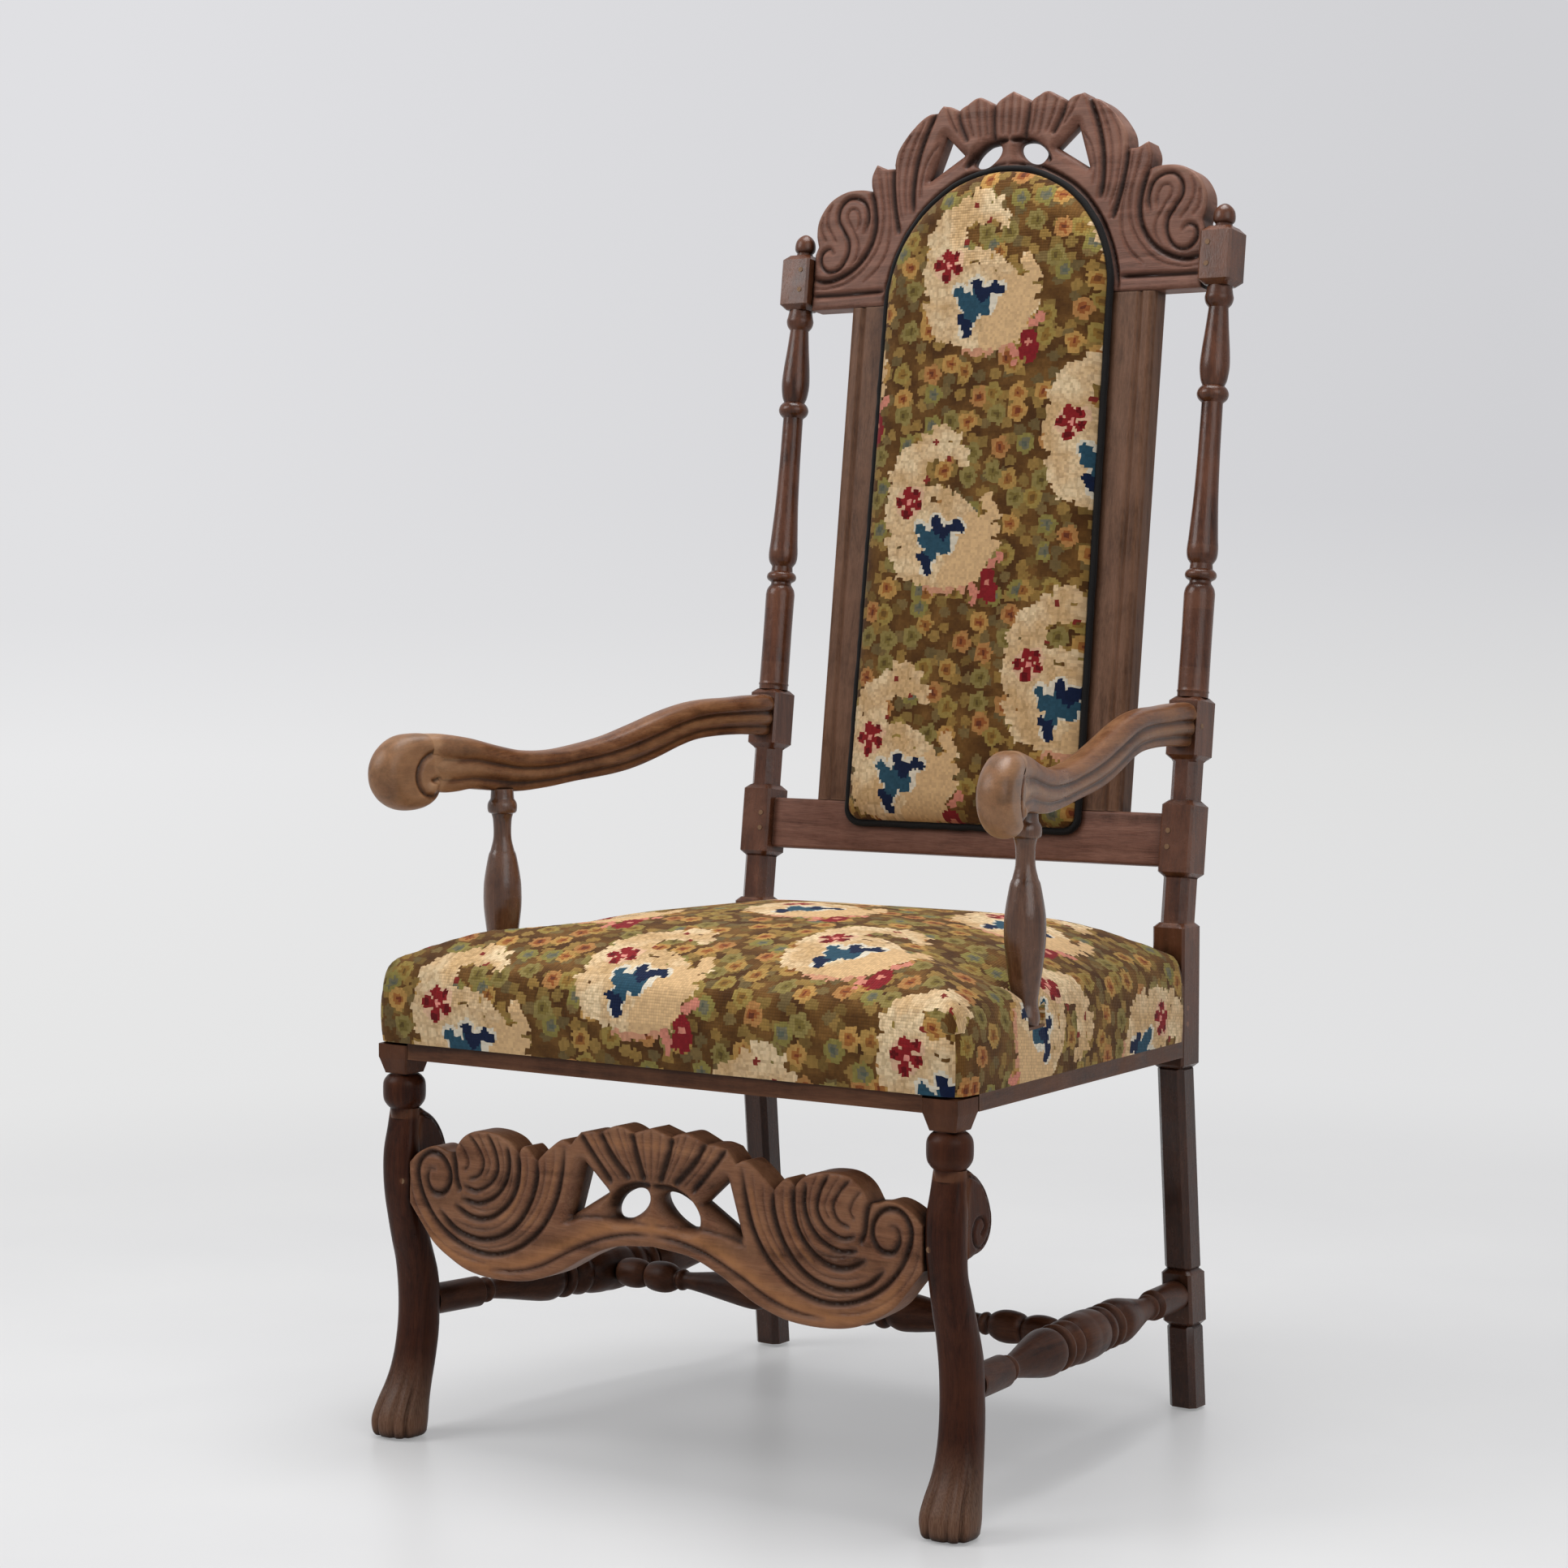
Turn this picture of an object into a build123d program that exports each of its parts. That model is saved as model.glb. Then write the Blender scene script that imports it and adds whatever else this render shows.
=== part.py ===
from build123d import *
import math
import os

os.makedirs("parts", exist_ok=True)

# ---------------------------------------------------------------- driving dimensions, mm
crest_top = 1250.0        # height of the crest's middle knob
seat_half_front = 307.0   # outer faces of the front legs' caps
seat_front = -293.0       # front faces of the front legs' caps
leg_square = 34.0         # square cap of a front leg
post_x = 238.0            # rear posts' axes
post_y = 199.0            # rear posts' axes where the back begins to lean
post_square = 33.0        # square blocks of the rear posts
rake_z = 440.0            # height where the back begins to lean
rake = math.radians(7.15)
foot_back = 29.0          # rear feet stand this far behind the seat blocks
rail_top = 400.0
rail_bottom_front = 343.0
rail_bottom_rear = 334.0
arm_top = 660.0           # arm's top edge at the rear post
stretcher_z = 112.0
panel_half = 127.0        # stuffed panel's half width at its foot, without welt
panel_foot = 538.0
crown_z = 474.0           # middle of the stuffed seat, under the cover

fit = 0.2                 # clearance in a mortise
cloth = 1.6
tenon = 10.0

# ---------------------------------------------------------------- derived dimensions
half = post_square / 2
leg_x = seat_half_front - leg_square / 2
leg_y = seat_front + leg_square / 2
leg_in = seat_half_front - leg_square
leg_back = seat_front + leg_square
post_in = post_x - half
post_out = post_x + half
post_front = post_y - half
tan_rake = math.tan(rake)
back_face = 7.0           # front of the back frame, ahead of the posts' axes
back_rear = -15.5
stile_in = panel_half - 3.0
arch_r = stile_in - 2.0   # arch of the crest rail
arch_k = arch_r / 122.0
arch_z = crest_top - 204.0 * arch_k   # springing of the round arch
foot_z = panel_foot - 31  # lower back rail
ledge_z = panel_foot + 18
block_foot = rail_bottom_rear - 12
side_run = (leg_in - post_in) / (post_front - leg_back)


def axis_y(z):
    """Y of a rear post's axis at height z."""
    if z >= rake_z:
        return post_y + (z - rake_z) * tan_rake
    return post_y + foot_back * min(1.0, max(0.0, (block_foot - z) / block_foot))


def up(z):
    """Distance along the leaning back of height z."""
    return (z - rake_z) / math.cos(rake)


def low(z):
    """Height on the carved legs and front stretcher, which follow the seat rail's height."""
    return z * rail_bottom_front / 343.0


def turned(z):
    """Height on the turned column, which runs from the arm to the crest."""
    return arm_top + (z - 660.0) * (arch_z - arm_top) / 386.0


def rise(z):
    """Height on the carved crest, which runs from the arch's springing to the top knob."""
    return arch_z + (z - 1046.0) * arch_k


def reach(y):
    """Depth on the arm, which runs from the front leg to the rear post."""
    return leg_back + (y + 259.0) * (post_front - leg_back) / 441.5


lean = Location((0, post_y, rake_z), (-math.degrees(rake), 0, 0))


def lean_at(x):
    return Location((x, post_y, rake_z), (-math.degrees(rake), 0, 0))


def slab(x0, x1, y0, y1, z0, z1):
    return Pos((x0 + x1) / 2, (y0 + y1) / 2, (z0 + z1) / 2) * Box(x1 - x0, y1 - y0, z1 - z0)


def outline(segments):
    """Face bounded by segments: two points make a line, more make a smooth curve."""
    edges = []
    for points in segments:
        if len(points) == 2:
            edges.append(Line(points[0], points[1]))
        else:
            edges.append(Spline(*points))
    return make_face(edges)


def mirrored(segments):
    """Closes a right-half outline, which runs from x = 0 to x = 0, by its mirror image."""
    left = [[(-x, z) for x, z in reversed(s)] for s in reversed(segments)]
    return segments + left


def side_cut(segments, x0, x1):
    """Side view (y, z) carried across from x0 to x1."""
    return Pos(x0, 0, 0) * extrude(Plane.YZ * outline(segments), x1 - x0)


def front_cut(segments, y0, y1):
    """Front view (x, z) carried back from y0 to y1."""
    return Pos(0, y1, 0) * extrude(Plane.XZ * outline(segments), y1 - y0)


def plan_cut(segments, z0, z1):
    return Pos(0, 0, z0) * extrude(outline(segments), z1 - z0)


def polygon(points):
    closed = list(points) + [points[0]]
    return [[a, b] for a, b in zip(closed, closed[1:])]


def lathe(segments):
    """Turned solid about Z from (radius, z) segments; its ends are closed on the axis."""
    first = segments[0][0]
    last = segments[-1][-1]
    segs = [[(0, first[1]), first]] + segments
    if last[0] > 0:
        segs = segs + [[last, (0, last[1])]]
    segs = segs + [[(0, last[1]), (0, first[1])]]
    return revolve(Plane.XZ * outline(segs), Axis.Z, 360)


def octagon(x, y, z, size, ch):
    h = size / 2
    pts = [(h, h - ch), (h - ch, h), (-h + ch, h), (-h, h - ch)]
    pts = pts + [(-px, -py) for px, py in pts]
    return Pos(x, y, z) * outline(polygon(pts))


def block(size, z0, z1, ch):
    """Square block with chamfered shoulders about the local Z axis."""
    b = slab(-size / 2, size / 2, -size / 2, size / 2, z0, z1)
    e = b.edges().group_by(Axis.Z)
    return chamfer(list(e[0]) + list(e[-1]), ch)


def both(shape):
    return mirror(shape, Plane.YZ)


def aim(p, q):
    """Location whose Z axis runs from point p to point q."""
    d = Vector(*q) - Vector(*p)
    return Plane(origin=p, x_dir=(0, 0, 1), z_dir=d).location


# ---------------------------------------------------------------- tenons and their mortises
def grown(b, g):
    """A tenon box given as six numbers, enlarged on every side by g."""
    return slab(b[0] - g, b[1] + g, b[2] - g, b[3] + g, b[4] - g, b[5] + g)


rail_low = rail_bottom_front + 9
rail_high = rail_top - 9
front_rail_tenon = (leg_in, leg_in + 15, leg_y - 6, leg_y + 2, rail_low, rail_high)
side_front_tenon = (leg_x + 2, leg_x + 2 + tenon, leg_back - 22, leg_back, rail_low, rail_high)
side_rear_tenon = (post_x - 3, post_x + 7, post_front, post_front + 20, rail_low, rail_high)
rear_rail_tenon = (post_in, post_in + 11, post_y + 2, post_y + 10, rail_low, rail_high)
stretcher_face = seat_front + 2
stretcher_rear = stretcher_face + 26
brace_z = low(233)        # tenons of the carved front stretcher
stretcher_tenon = (leg_in, leg_in + 14, leg_y - 9, leg_y - 1, brace_z - 11, brace_z + 11)

# ---------------------------------------------------------------- front legs
leg_front_edge = [(-8.5, 297), (-12, 277), (-16, 258), (-17, 240), (-15.5, 218), (-11, 195),
                  (-4, 175), (2, 158), (5, 136), (6, 112), (4.5, 88), (0, 64), (-8, 45),
                  (-18, 30), (-25.5, 18), (-27, 8), (-24, 0)]
leg_back_edge = [(15, 0), (16, 14), (18, 30), (22, 47), (27, 65), (31, 84), (33, 98)]
leg_pad = [(33, 98), (33, 130)]
leg_calf = [(33, 130), (30, 146), (24, 164), (18, 182), (12, 200), (8, 214), (8.5, 222)]
leg_curl = [(8.5, 222), (15, 226.5), (24, 226), (33, 231), (38, 240), (38, 253), (33, 266),
            (23, 281), (13, 292), (9.5, 297)]


def shift(points):
    return [(leg_y + y, low(z)) for y, z in points]


leg_side = side_cut(
    [shift(leg_front_edge), shift([(-24, 0), (15, 0)]), shift(leg_back_edge), shift(leg_pad),
     shift(leg_calf), shift(leg_curl), shift([(9.5, 297), (-8.5, 297)])],
    leg_x - 30, leg_x + 30)
leg_width = [(14, 297), (15.5, 280), (17, 262), (17, 236), (16, 212), (14.5, 190), (12.8, 165),
             (12.5, 140), (12.5, 104), (13.4, 72), (15.2, 48), (17.6, 28), (18.4, 13), (17.5, 0)]
leg_face = front_cut(
    [[(leg_x + w, low(z)) for w, z in leg_width],
     [(leg_x + 17.5, 0), (leg_x - 17.5, 0)],
     [(leg_x - w, low(z)) for w, z in reversed(leg_width)],
     [(leg_x - 14, low(297)), (leg_x + 14, low(297))]],
    leg_y - 60, leg_y + 70)
ball = lathe([[(12.5, low(290)), (13, low(297))],
              [(13, low(297)), (16, low(300)), (18.7, low(305)), (19.3, low(313)), (18.7, low(321)),
               (15.5, low(326)), (12.5, low(328))],
              [(12.5, low(328)), (12.5, low(334))]])
cap_taper = loft([Pos(leg_x, leg_y, low(329)) * Rectangle(25, 25),
                  Pos(leg_x, leg_y, rail_bottom_front) * Rectangle(leg_square, leg_square)])
cap = slab(leg_in, seat_half_front, seat_front, leg_back, rail_bottom_front, rail_top)
leg = (leg_side & leg_face) + Pos(leg_x, leg_y, 0) * ball + cap_taper + cap
shoulder = 1.9            # the bars meet legs and posts at a slant
side_start = (leg_x, leg_y + 33 + shoulder, stretcher_z + 4)
side_end = (post_x, axis_y(stretcher_z - 7) - 15.5 - shoulder, stretcher_z - 4)
side_axis = aim(side_start, side_end)
side_len = (Vector(*side_end) - Vector(*side_start)).length
round_tenon = 7.0
side_mortise = side_axis * Pos(0, 0, side_len / 2) * Cylinder(round_tenon + fit, side_len + 27)
leg = leg - grown(front_rail_tenon, fit) - grown(side_front_tenon, fit)
leg = leg - grown(stretcher_tenon, fit) - side_mortise

# ---------------------------------------------------------------- rear posts
lower = loft([octagon(post_x, axis_y(0), 0, 25, 5),
              octagon(post_x, post_y, block_foot + 3, 25, 5)])
foot_block = Pos(post_x, axis_y(stretcher_z - 7), 0) * block(31, stretcher_z - 34, stretcher_z + 20, 4)
seat_block = Pos(post_x, post_y, 0) * block(post_square, block_foot, rake_z + 17, 4)
neck_low = extrude(octagon(0, 0, 0, 27, 6), up(foot_z - 7))
neck_mid = Pos(0, 0, up(ledge_z + 4)) * extrude(octagon(0, 0, 0, 25, 6), up(arm_top - 48) - up(ledge_z + 4))
rail_block = block(post_square, up(foot_z - 9), up(ledge_z + 12), 4)
arm_block = block(post_square, up(arm_top - 54), up(arm_top + 4), 4)
top_block = block(post_square, up(arch_z), up(arch_z + 62), 5)
column_line = [
    [(14.5, 660), (14.5, 762)],
    [(14.5, 762), (13.2, 766), (10.2, 770)],
    [(10.2, 770), (10.2, 772)],
    [(10.2, 772), (13.9, 774.5), (14.9, 777.5), (13.9, 780.5), (10.9, 783)],
    [(10.9, 783), (10.6, 788)],
    [(10.6, 788), (13.6, 793), (14.6, 801), (13.6, 815), (11.6, 850), (10.5, 890), (10, 938)],
    [(10, 938), (13.6, 941.5), (15, 946), (13.6, 950.5), (10.4, 954)],
    [(10.4, 954), (12.6, 960), (14, 972), (13.2, 987), (11, 1008), (9.3, 1027)],
    [(9.3, 1027), (12.4, 1031), (13.4, 1037)],
    [(13.4, 1037), (13.4, 1050)]]
column = lathe([[(r, up(turned(z))) for r, z in s] for s in column_line])
finial_line = [
    [(7, 58), (6, 65)],
    [(6, 65), (8, 67.5), (8.3, 72), (6.4, 78), (0, 80)]]
finial = lathe([[(r, up(arch_z + z)) for r, z in s] for s in finial_line])
upper = neck_low + rail_block + neck_mid + arm_block + column + top_block + finial
post = lower + foot_block + seat_block + lean_at(post_x) * upper
crest_tenon = (post_in, post_in + 18, -4, 5, up(arch_z + 10), up(arch_z + 50))
rail_tenon = (post_in, post_in + 18, -6, 3, up(foot_z + 8), up(ledge_z - 7))
arm_z = arm_top - 22
arm_tenon = (post_x - 5, post_x + 5, axis_y(arm_z) - half - 2, axis_y(arm_z), arm_z - 12, arm_z + 12)
post = post - lean * grown(crest_tenon, fit) - lean * grown(rail_tenon, fit)
post = post - grown(arm_tenon, fit) - grown(side_rear_tenon, fit) - grown(rear_rail_tenon, fit)
post = post - side_mortise

# ---------------------------------------------------------------- seat rails and corner blocks
slope = (rail_bottom_front - rail_bottom_rear) / (post_front - leg_back)
front_rail = slab(-leg_in, leg_in, seat_front + 2, leg_back, rail_bottom_front, rail_top)
front_rail = front_rail + grown(front_rail_tenon, 0) + both(grown(front_rail_tenon, 0))
side_rail = plan_cut(polygon([(seat_half_front, leg_back), (post_out, post_front),
                              (post_in, post_front), (leg_in, leg_back)]), 300, rail_top)
side_rail = side_rail & side_cut(polygon([(leg_back, rail_bottom_front), (post_front, rail_bottom_rear),
                                          (post_front, rail_top), (leg_back, rail_top)]), 0, 400)
side_rail = side_rail + grown(side_front_tenon, 0) + grown(side_rear_tenon, 0)
rear_rail = slab(-post_in, post_in, post_front + 4, post_front + 29, rail_bottom_rear, rail_top)
rear_rail = rear_rail + grown(rear_rail_tenon, 0) + both(grown(rear_rail_tenon, 0))
block_leg = 58.0
block_z0 = rail_top - 42
block_z1 = rail_top - 4
front_block = plan_cut(polygon([(leg_in, leg_back), (leg_in - block_leg, leg_back),
                                (leg_in - side_run * block_leg, leg_back + block_leg)]), block_z0, block_z1)
rear_face = post_front + 4
rear_block = plan_cut(polygon([(post_in, post_front), (post_in, rear_face),
                               (post_in - block_leg, rear_face),
                               (post_in + side_run * block_leg, post_front - block_leg)]), block_z0, block_z1)

# ---------------------------------------------------------------- arms and their supports
support_y = reach(-147.0)
support_x = leg_x - side_run * (support_y - leg_back) + 5.3
arm_end = axis_y(arm_top) - half - 0.6
arm_end_low = axis_y(arm_top - 42) - half - 0.6
drop = arm_top - 660.0
spread = (support_x - post_x) / 44.0
arm_upper = [(arm_end, 660), (150, 653), (100, 648), (60, 642), (20, 635.5), (-15, 628), (-50, 618),
             (-85, 611.5), (-120, 610.5), (-150, 614), (-180, 622), (-208, 629.5), (-232, 632.5)]
arm_scroll = [(-232, 632.5), (-250, 630), (-266, 619), (-274.5, 603), (-273.5, 585), (-264, 571),
              (-249, 563), (-232, 563), (-218, 571), (-211, 584)]
arm_under = [(-211, 584), (-198, 584), (-182, 581), (-160, 574.5), (-130, 571), (-95, 575),
             (-60, 583), (-12, 593), (40, 601), (110, 612), (160, 616), (arm_end_low, 618)]


def raised(points):
    return [(y if y > post_front - 40 else reach(y), z + drop) for y, z in points]


arm_side = side_cut([raised(arm_upper), raised(arm_scroll), raised(arm_under),
                     raised([(arm_end_low, 618), (arm_end, 660)])], 180, 380)
arm_inner = [(-14, 215), (-5, 100), (9, 0), (20, -61), (32, -130), (43, -180), (54, -215),
             (65, -245), (71, -280)]
arm_outer = [(103, -280), (98, -245), (87, -215), (75, -180), (62, -130), (49, -61), (38, 0),
             (23, 100), (14, 215)]


def aside(points):
    return [(post_x + x * spread, reach(y)) for x, y in points]


arm_plan = plan_cut([aside(arm_inner), aside([(71, -280), (103, -280)]), aside(arm_outer),
                     aside([(14, 215), (-14, 215)])], rail_top, arm_top + 100)
arm = arm_side & arm_plan
arm = arm + slab(post_x - 5, post_x + 5, arm_end_low - 6, axis_y(arm_z), arm_z - 12, arm_z + 12)
under_arm = arm_top - 90.0
support_line = [
    [(6.5, -26), (6.5, 0)],
    [(6.5, 0), (12, 0)],
    [(12, 0), (13, 6), (12, 12)],
    [(12, 12), (11.5, 24)],
    [(11.5, 24), (14.5, 44), (17.2, 66), (17.8, 78)],
    [(17.8, 78), (17, 92), (13.2, 112), (11, 118)],
    [(11, 118), (8.2, 130), (8.4, 144), (10, 151)],
    [(10, 151), (13.2, 153), (13.6, 160), (11, 165)],
    [(11, 165), (10.4, 170)],
    [(10.4, 170), (6.5, 170)],
    [(6.5, 170), (6.5, 187)]]


def standing(z):
    """Height on the arm support, whose end tenons keep their length."""
    inside = min(max(z, 0.0), 170.0)
    return rail_top + inside * (under_arm - rail_top) / 170.0 + (z - inside)


support = lathe([[(r, standing(z)) for r, z in s] for s in support_line])
support = Pos(support_x, support_y, 0) * support
support_hole = Pos(support_x, support_y, (rail_top - 26 + under_arm + 17) / 2)
support_hole = support_hole * Cylinder(6.5 + fit, under_arm + 17 - rail_top + 26 + 2 * fit)
side_rail = side_rail - support_hole
arm = arm - support_hole

# ---------------------------------------------------------------- stretchers
carved_line = [
    [(0, 306), (10, 303), (20, 300)],
    [(20, 300), (29, 303.5), (38, 304.5), (48, 301), (57, 297)],
    [(57, 297), (67, 297.5), (78, 295)],
    [(78, 295), (88, 284)],
    [(88, 284), (98, 287), (112, 278), (126, 266)],
    [(126, 266), (139, 277), (147, 271)],
    [(147, 271), (157, 280), (172, 285), (190, 286), (203, 283), (213, 276), (221, 264)],
    [(221, 264), (229, 265), (240, 268), (251, 266), (263, 260), (272.7, 251)],
    [(272.7, 251), (272.7, 214)],
    [(272.7, 214), (258, 196), (245, 181), (228, 170), (205, 160), (175, 156), (140, 158),
     (110, 167), (90, 177), (70, 188), (40, 199.5), (0, 204)]]
broad = (leg_in - 0.3) / 272.7
carved = mirrored([[(x * broad, low(z)) for x, z in s] for s in carved_line])
front_stretcher = front_cut(carved, stretcher_face, stretcher_rear)
oval = extrude(Plane.XZ * Ellipse(15, 12.5), 60, both=True)
for s in (-1, 1):
    gap = [(s * 73 * broad, low(268)), (s * 51 * broad, low(245.5)), (s * 87.5 * broad, low(222.5))]
    front_stretcher = front_stretcher - front_cut(polygon(gap), seat_front - 20, seat_front + 60)
    front_stretcher = front_stretcher - Pos(s * 21 * broad, stretcher_face + 13, low(238)) * oval
st = (leg_in - 1, leg_in + 13.8, leg_y - 9, leg_y - 1, brace_z - 11, brace_z + 11)
front_stretcher = front_stretcher + grown(st, 0) + both(grown(st, 0))


def turned_bar(length, r, r_ten, depth):
    """Turned stretcher: collars, two vases and a double bulb, with round tenons."""
    m = length / 2
    a = [
        [(r_ten, -depth), (r_ten, 0)],
        [(r_ten, 0), (0.62 * r, 0)],
        [(0.62 * r, 0), (0.64 * r, 0.13 * length)],
        [(0.64 * r, 0.13 * length), (0.5 * r, 0.14 * length), (0.44 * r, 0.165 * length)],
        [(0.44 * r, 0.165 * length), (0.6 * r, 0.24 * length), (0.9 * r, 0.33 * length),
         (0.92 * r, 0.38 * length), (0.72 * r, 0.402 * length)],
        [(0.72 * r, 0.402 * length), (0.95 * r, 0.425 * length), (0.98 * r, 0.45 * length),
         (r, m)]]
    b = [[(x, length - z) for x, z in reversed(s)] for s in reversed(a)]
    return lathe(a + b)


stretcher_r = 22.0
side_stretcher = side_axis * turned_bar(side_len, stretcher_r, round_tenon, 13)
mid = (Vector(*side_start) + Vector(*side_end)) * 0.5
medial_r = 19.0
medial_len = 2 * (mid.X - stretcher_r - 0.6)
medial_start = (-medial_len / 2, mid.Y, stretcher_z)
medial_axis = aim(medial_start, (medial_len / 2, mid.Y, stretcher_z))
medial_stretcher = medial_axis * turned_bar(medial_len, medial_r, 6.0, 13)
medial_hole = medial_axis * Pos(0, 0, medial_len / 2) * Cylinder(6.0 + fit, medial_len + 27)
side_stretcher = side_stretcher - medial_hole

# ---------------------------------------------------------------- back frame, laid out upright
stile_out = post_in - 48.5


def upright(segments, rear, face):
    """Front view (x, height) of a piece of the back, between two depths ahead of the axes."""
    segs = [[(x, up(z)) for x, z in s] for s in segments]
    return Pos(0, -rear, 0) * extrude(Plane.XZ * outline(segs), face - rear)


flank = (post_in - 0.2) / 221.3
crest_edge = [
    [(0, 1250), (12, 1244), (20, 1238)],
    [(20, 1238), (30, 1244), (40, 1247), (52, 1241), (62, 1236)],
    [(62, 1236), (70, 1240), (80, 1242)],
    [(80, 1242), (86, 1236)],
    [(86, 1236), (97, 1234), (108, 1227), (120, 1215), (130, 1200), (133, 1184)],
    [(133, 1184), (143, 1184), (154, 1189)],
    [(154, 1189), (159, 1177), (158, 1163)],
    [(158, 1163), (172, 1165), (188, 1164), (203, 1158), (213, 1149), (220, 1136), (221, 1122),
     (218, 1110)],
    [(218, 1110), (221.3, 1102)],
    [(221.3, 1102), (221.3, 1046)]]
crest_edge = [[(x * flank, rise(z)) for x, z in s] for s in crest_edge]
crest_foot = [
    [(post_in - 0.2, arch_z), (arch_r, arch_z)],
    [(arch_r * math.cos(a), arch_z + arch_r * math.sin(a)) for a in
     [math.radians(t) for t in (0, 22.5, 45, 67.5, 90)]]]
crest_line = mirrored(crest_edge + crest_foot)
crest = upright(crest_line, back_rear, back_face)
oval = extrude(Plane.XZ * Ellipse(14 * arch_k, 10 * arch_k), 100, both=True)
for s in (-1, 1):
    gap = [(s * 75 * arch_k, rise(1211)), (s * 53 * arch_k, rise(1191)), (s * 90 * arch_k, rise(1169))]
    crest = crest - upright(polygon(gap), -60, 60)
    crest = crest - Pos(s * 23 * arch_k, 0, up(rise(1187))) * oval
crest_end = slab(post_in - 1, post_in + 17.8, -4, 5, up(arch_z + 10), up(arch_z + 50))
crest = crest + crest_end
crest = crest + both(crest_end)
lower_rail = slab(-post_in + 0.2, post_in - 0.2, -back_face, -back_rear, up(foot_z), up(ledge_z))
rail_end = slab(post_in - 1, post_in + 17.8, -6, 3, up(foot_z + 8), up(ledge_z - 7))
lower_rail = lower_rail + rail_end
lower_rail = lower_rail + both(rail_end)
stile = slab(stile_in, stile_out, -back_face + 1, -back_rear, up(ledge_z), up(arch_z))
stile_mid = (stile_in + stile_out) / 2
top_tenon = (stile_mid - 14, stile_mid + 14, 0, 8, up(arch_z), up(arch_z) + 20)
low_tenon = (stile_mid - 14, stile_mid + 14, 0, 8, up(ledge_z) - 20, up(ledge_z))
stile = stile + grown(top_tenon, 0) + grown(low_tenon, 0)
for s in (1, -1):
    cut_top = grown(top_tenon, fit)
    cut_low = grown(low_tenon, fit)
    crest = crest - (cut_top if s > 0 else both(cut_top))
    lower_rail = lower_rail - (cut_low if s > 0 else both(cut_low))
stile_bead = slab(stile_out - 15, stile_out - 12, -back_face, -back_face + 2.5,
                  up(ledge_z) - 1, up(arch_z) + 1)
stile = stile - stile_bead

# ---------------------------------------------------------------- stuffed back panel


def panel_line(g, foot_gap):
    """Outline of the arched panel, grown by g all round."""
    w0 = panel_half + g
    w1 = panel_half - 4 + g
    z0 = panel_foot - foot_gap
    pts = [(w1 * math.cos(a), arch_z + w1 * math.sin(a)) for a in
           [math.radians(t) for t in (0, 22.5, 45, 67.5, 90)]]
    corner = [(w0 - 14 + 14 * math.sin(a), z0 + 14 - 14 * math.cos(a)) for a in
              [math.radians(t) for t in (0, 22.5, 45, 67.5, 90)]]
    half_line = [[(0, z0), corner[0]], corner, [corner[-1], (w1, arch_z)], pts]
    return mirrored(half_line)


def rounded(shape, radius):
    """Softens the edge round the front face of a panel."""
    face_edges = shape.faces().sort_by(Axis.Y)[0].edges()
    return fillet(face_edges, radius)


def panel(g, y_rear, y_front):
    segs = [[(x, up(z)) for x, z in s] for s in panel_line(g, g)]
    return Pos(0, -y_rear, 0) * extrude(Plane.XZ * outline(segs), y_front - y_rear)


canvas_face = back_face + 0.8
back_canvas = panel(-2, back_face, canvas_face)
back_stuffing = rounded(panel(-1, canvas_face, back_face + 20), 9)
back_shell = rounded(panel(-1 + cloth, back_face, back_face + 20 + cloth), 10)
back_cover = back_shell - panel(-1, back_face - 1, canvas_face) - back_stuffing
tape = 40.0
straps = []
for i in range(6):
    zc = ledge_z + (i + 0.5) * (arch_z - ledge_z) / 6
    straps.append(slab(-stile_in + 0.5, stile_in - 0.5, -back_face + 1.6, -back_face + 2.8,
                       up(zc) - tape / 2, up(zc) + tape / 2))
for i in range(3):
    xc = (i - 1) * 0.6 * stile_in
    top = arch_z + math.sqrt(arch_r ** 2 - (abs(xc) + tape / 2) ** 2) - 3
    straps.append(slab(xc - tape / 2, xc + tape / 2, -back_face + 0.4, -back_face + 1.6,
                       up(ledge_z) + 0.5, up(top)))
back_webbing = Part() + straps
outside_cover = panel(0, back_rear - 1.0, back_rear)
welt_r = 3.0
welt_g = -1 + cloth + welt_r + 0.3
ring = panel(welt_g + welt_r, back_face, back_face + 2 * welt_r)
ring = ring - panel(welt_g - welt_r, back_face - 1, back_face + 2 * welt_r + 1)
back_welt = chamfer(ring.faces().sort_by(Axis.Y)[0].edges(), 1.6)

# ---------------------------------------------------------------- stuffed seat


def seat_plan(g):
    w0 = seat_half_front + 0.4 + g
    w1 = post_out + 0.4 + g
    y0 = seat_front - 0.4 - g
    y1 = post_front - 0.6
    y2 = post_front + 29.4 + g
    xi = post_in - 0.6
    right = [(w0, y0), (w0, leg_back), (w1, y1), (xi, y1), (xi, y2)]
    return right + [(-x, y) for x, y in reversed(right)]


def pad(g, z0, top, edge):
    """Domed pad over the seat rails, its upper front and side edges rounded."""
    body = plan_cut(polygon(seat_plan(g)), z0, top + 20)
    ball_r = 2300.0       # radius of the crowned top
    body = body & Pos(0, -30, top - ball_r) * Sphere(ball_r)
    crown = body.faces().sort_by(Axis.Z)[-1]
    keep = []
    for e in crown.edges():
        c = e.center()
        if c.Y < post_front - 5 and abs(c.X) > 100 or c.Y < seat_front + 10:
            keep.append(e)
    return fillet(keep, edge)


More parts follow.
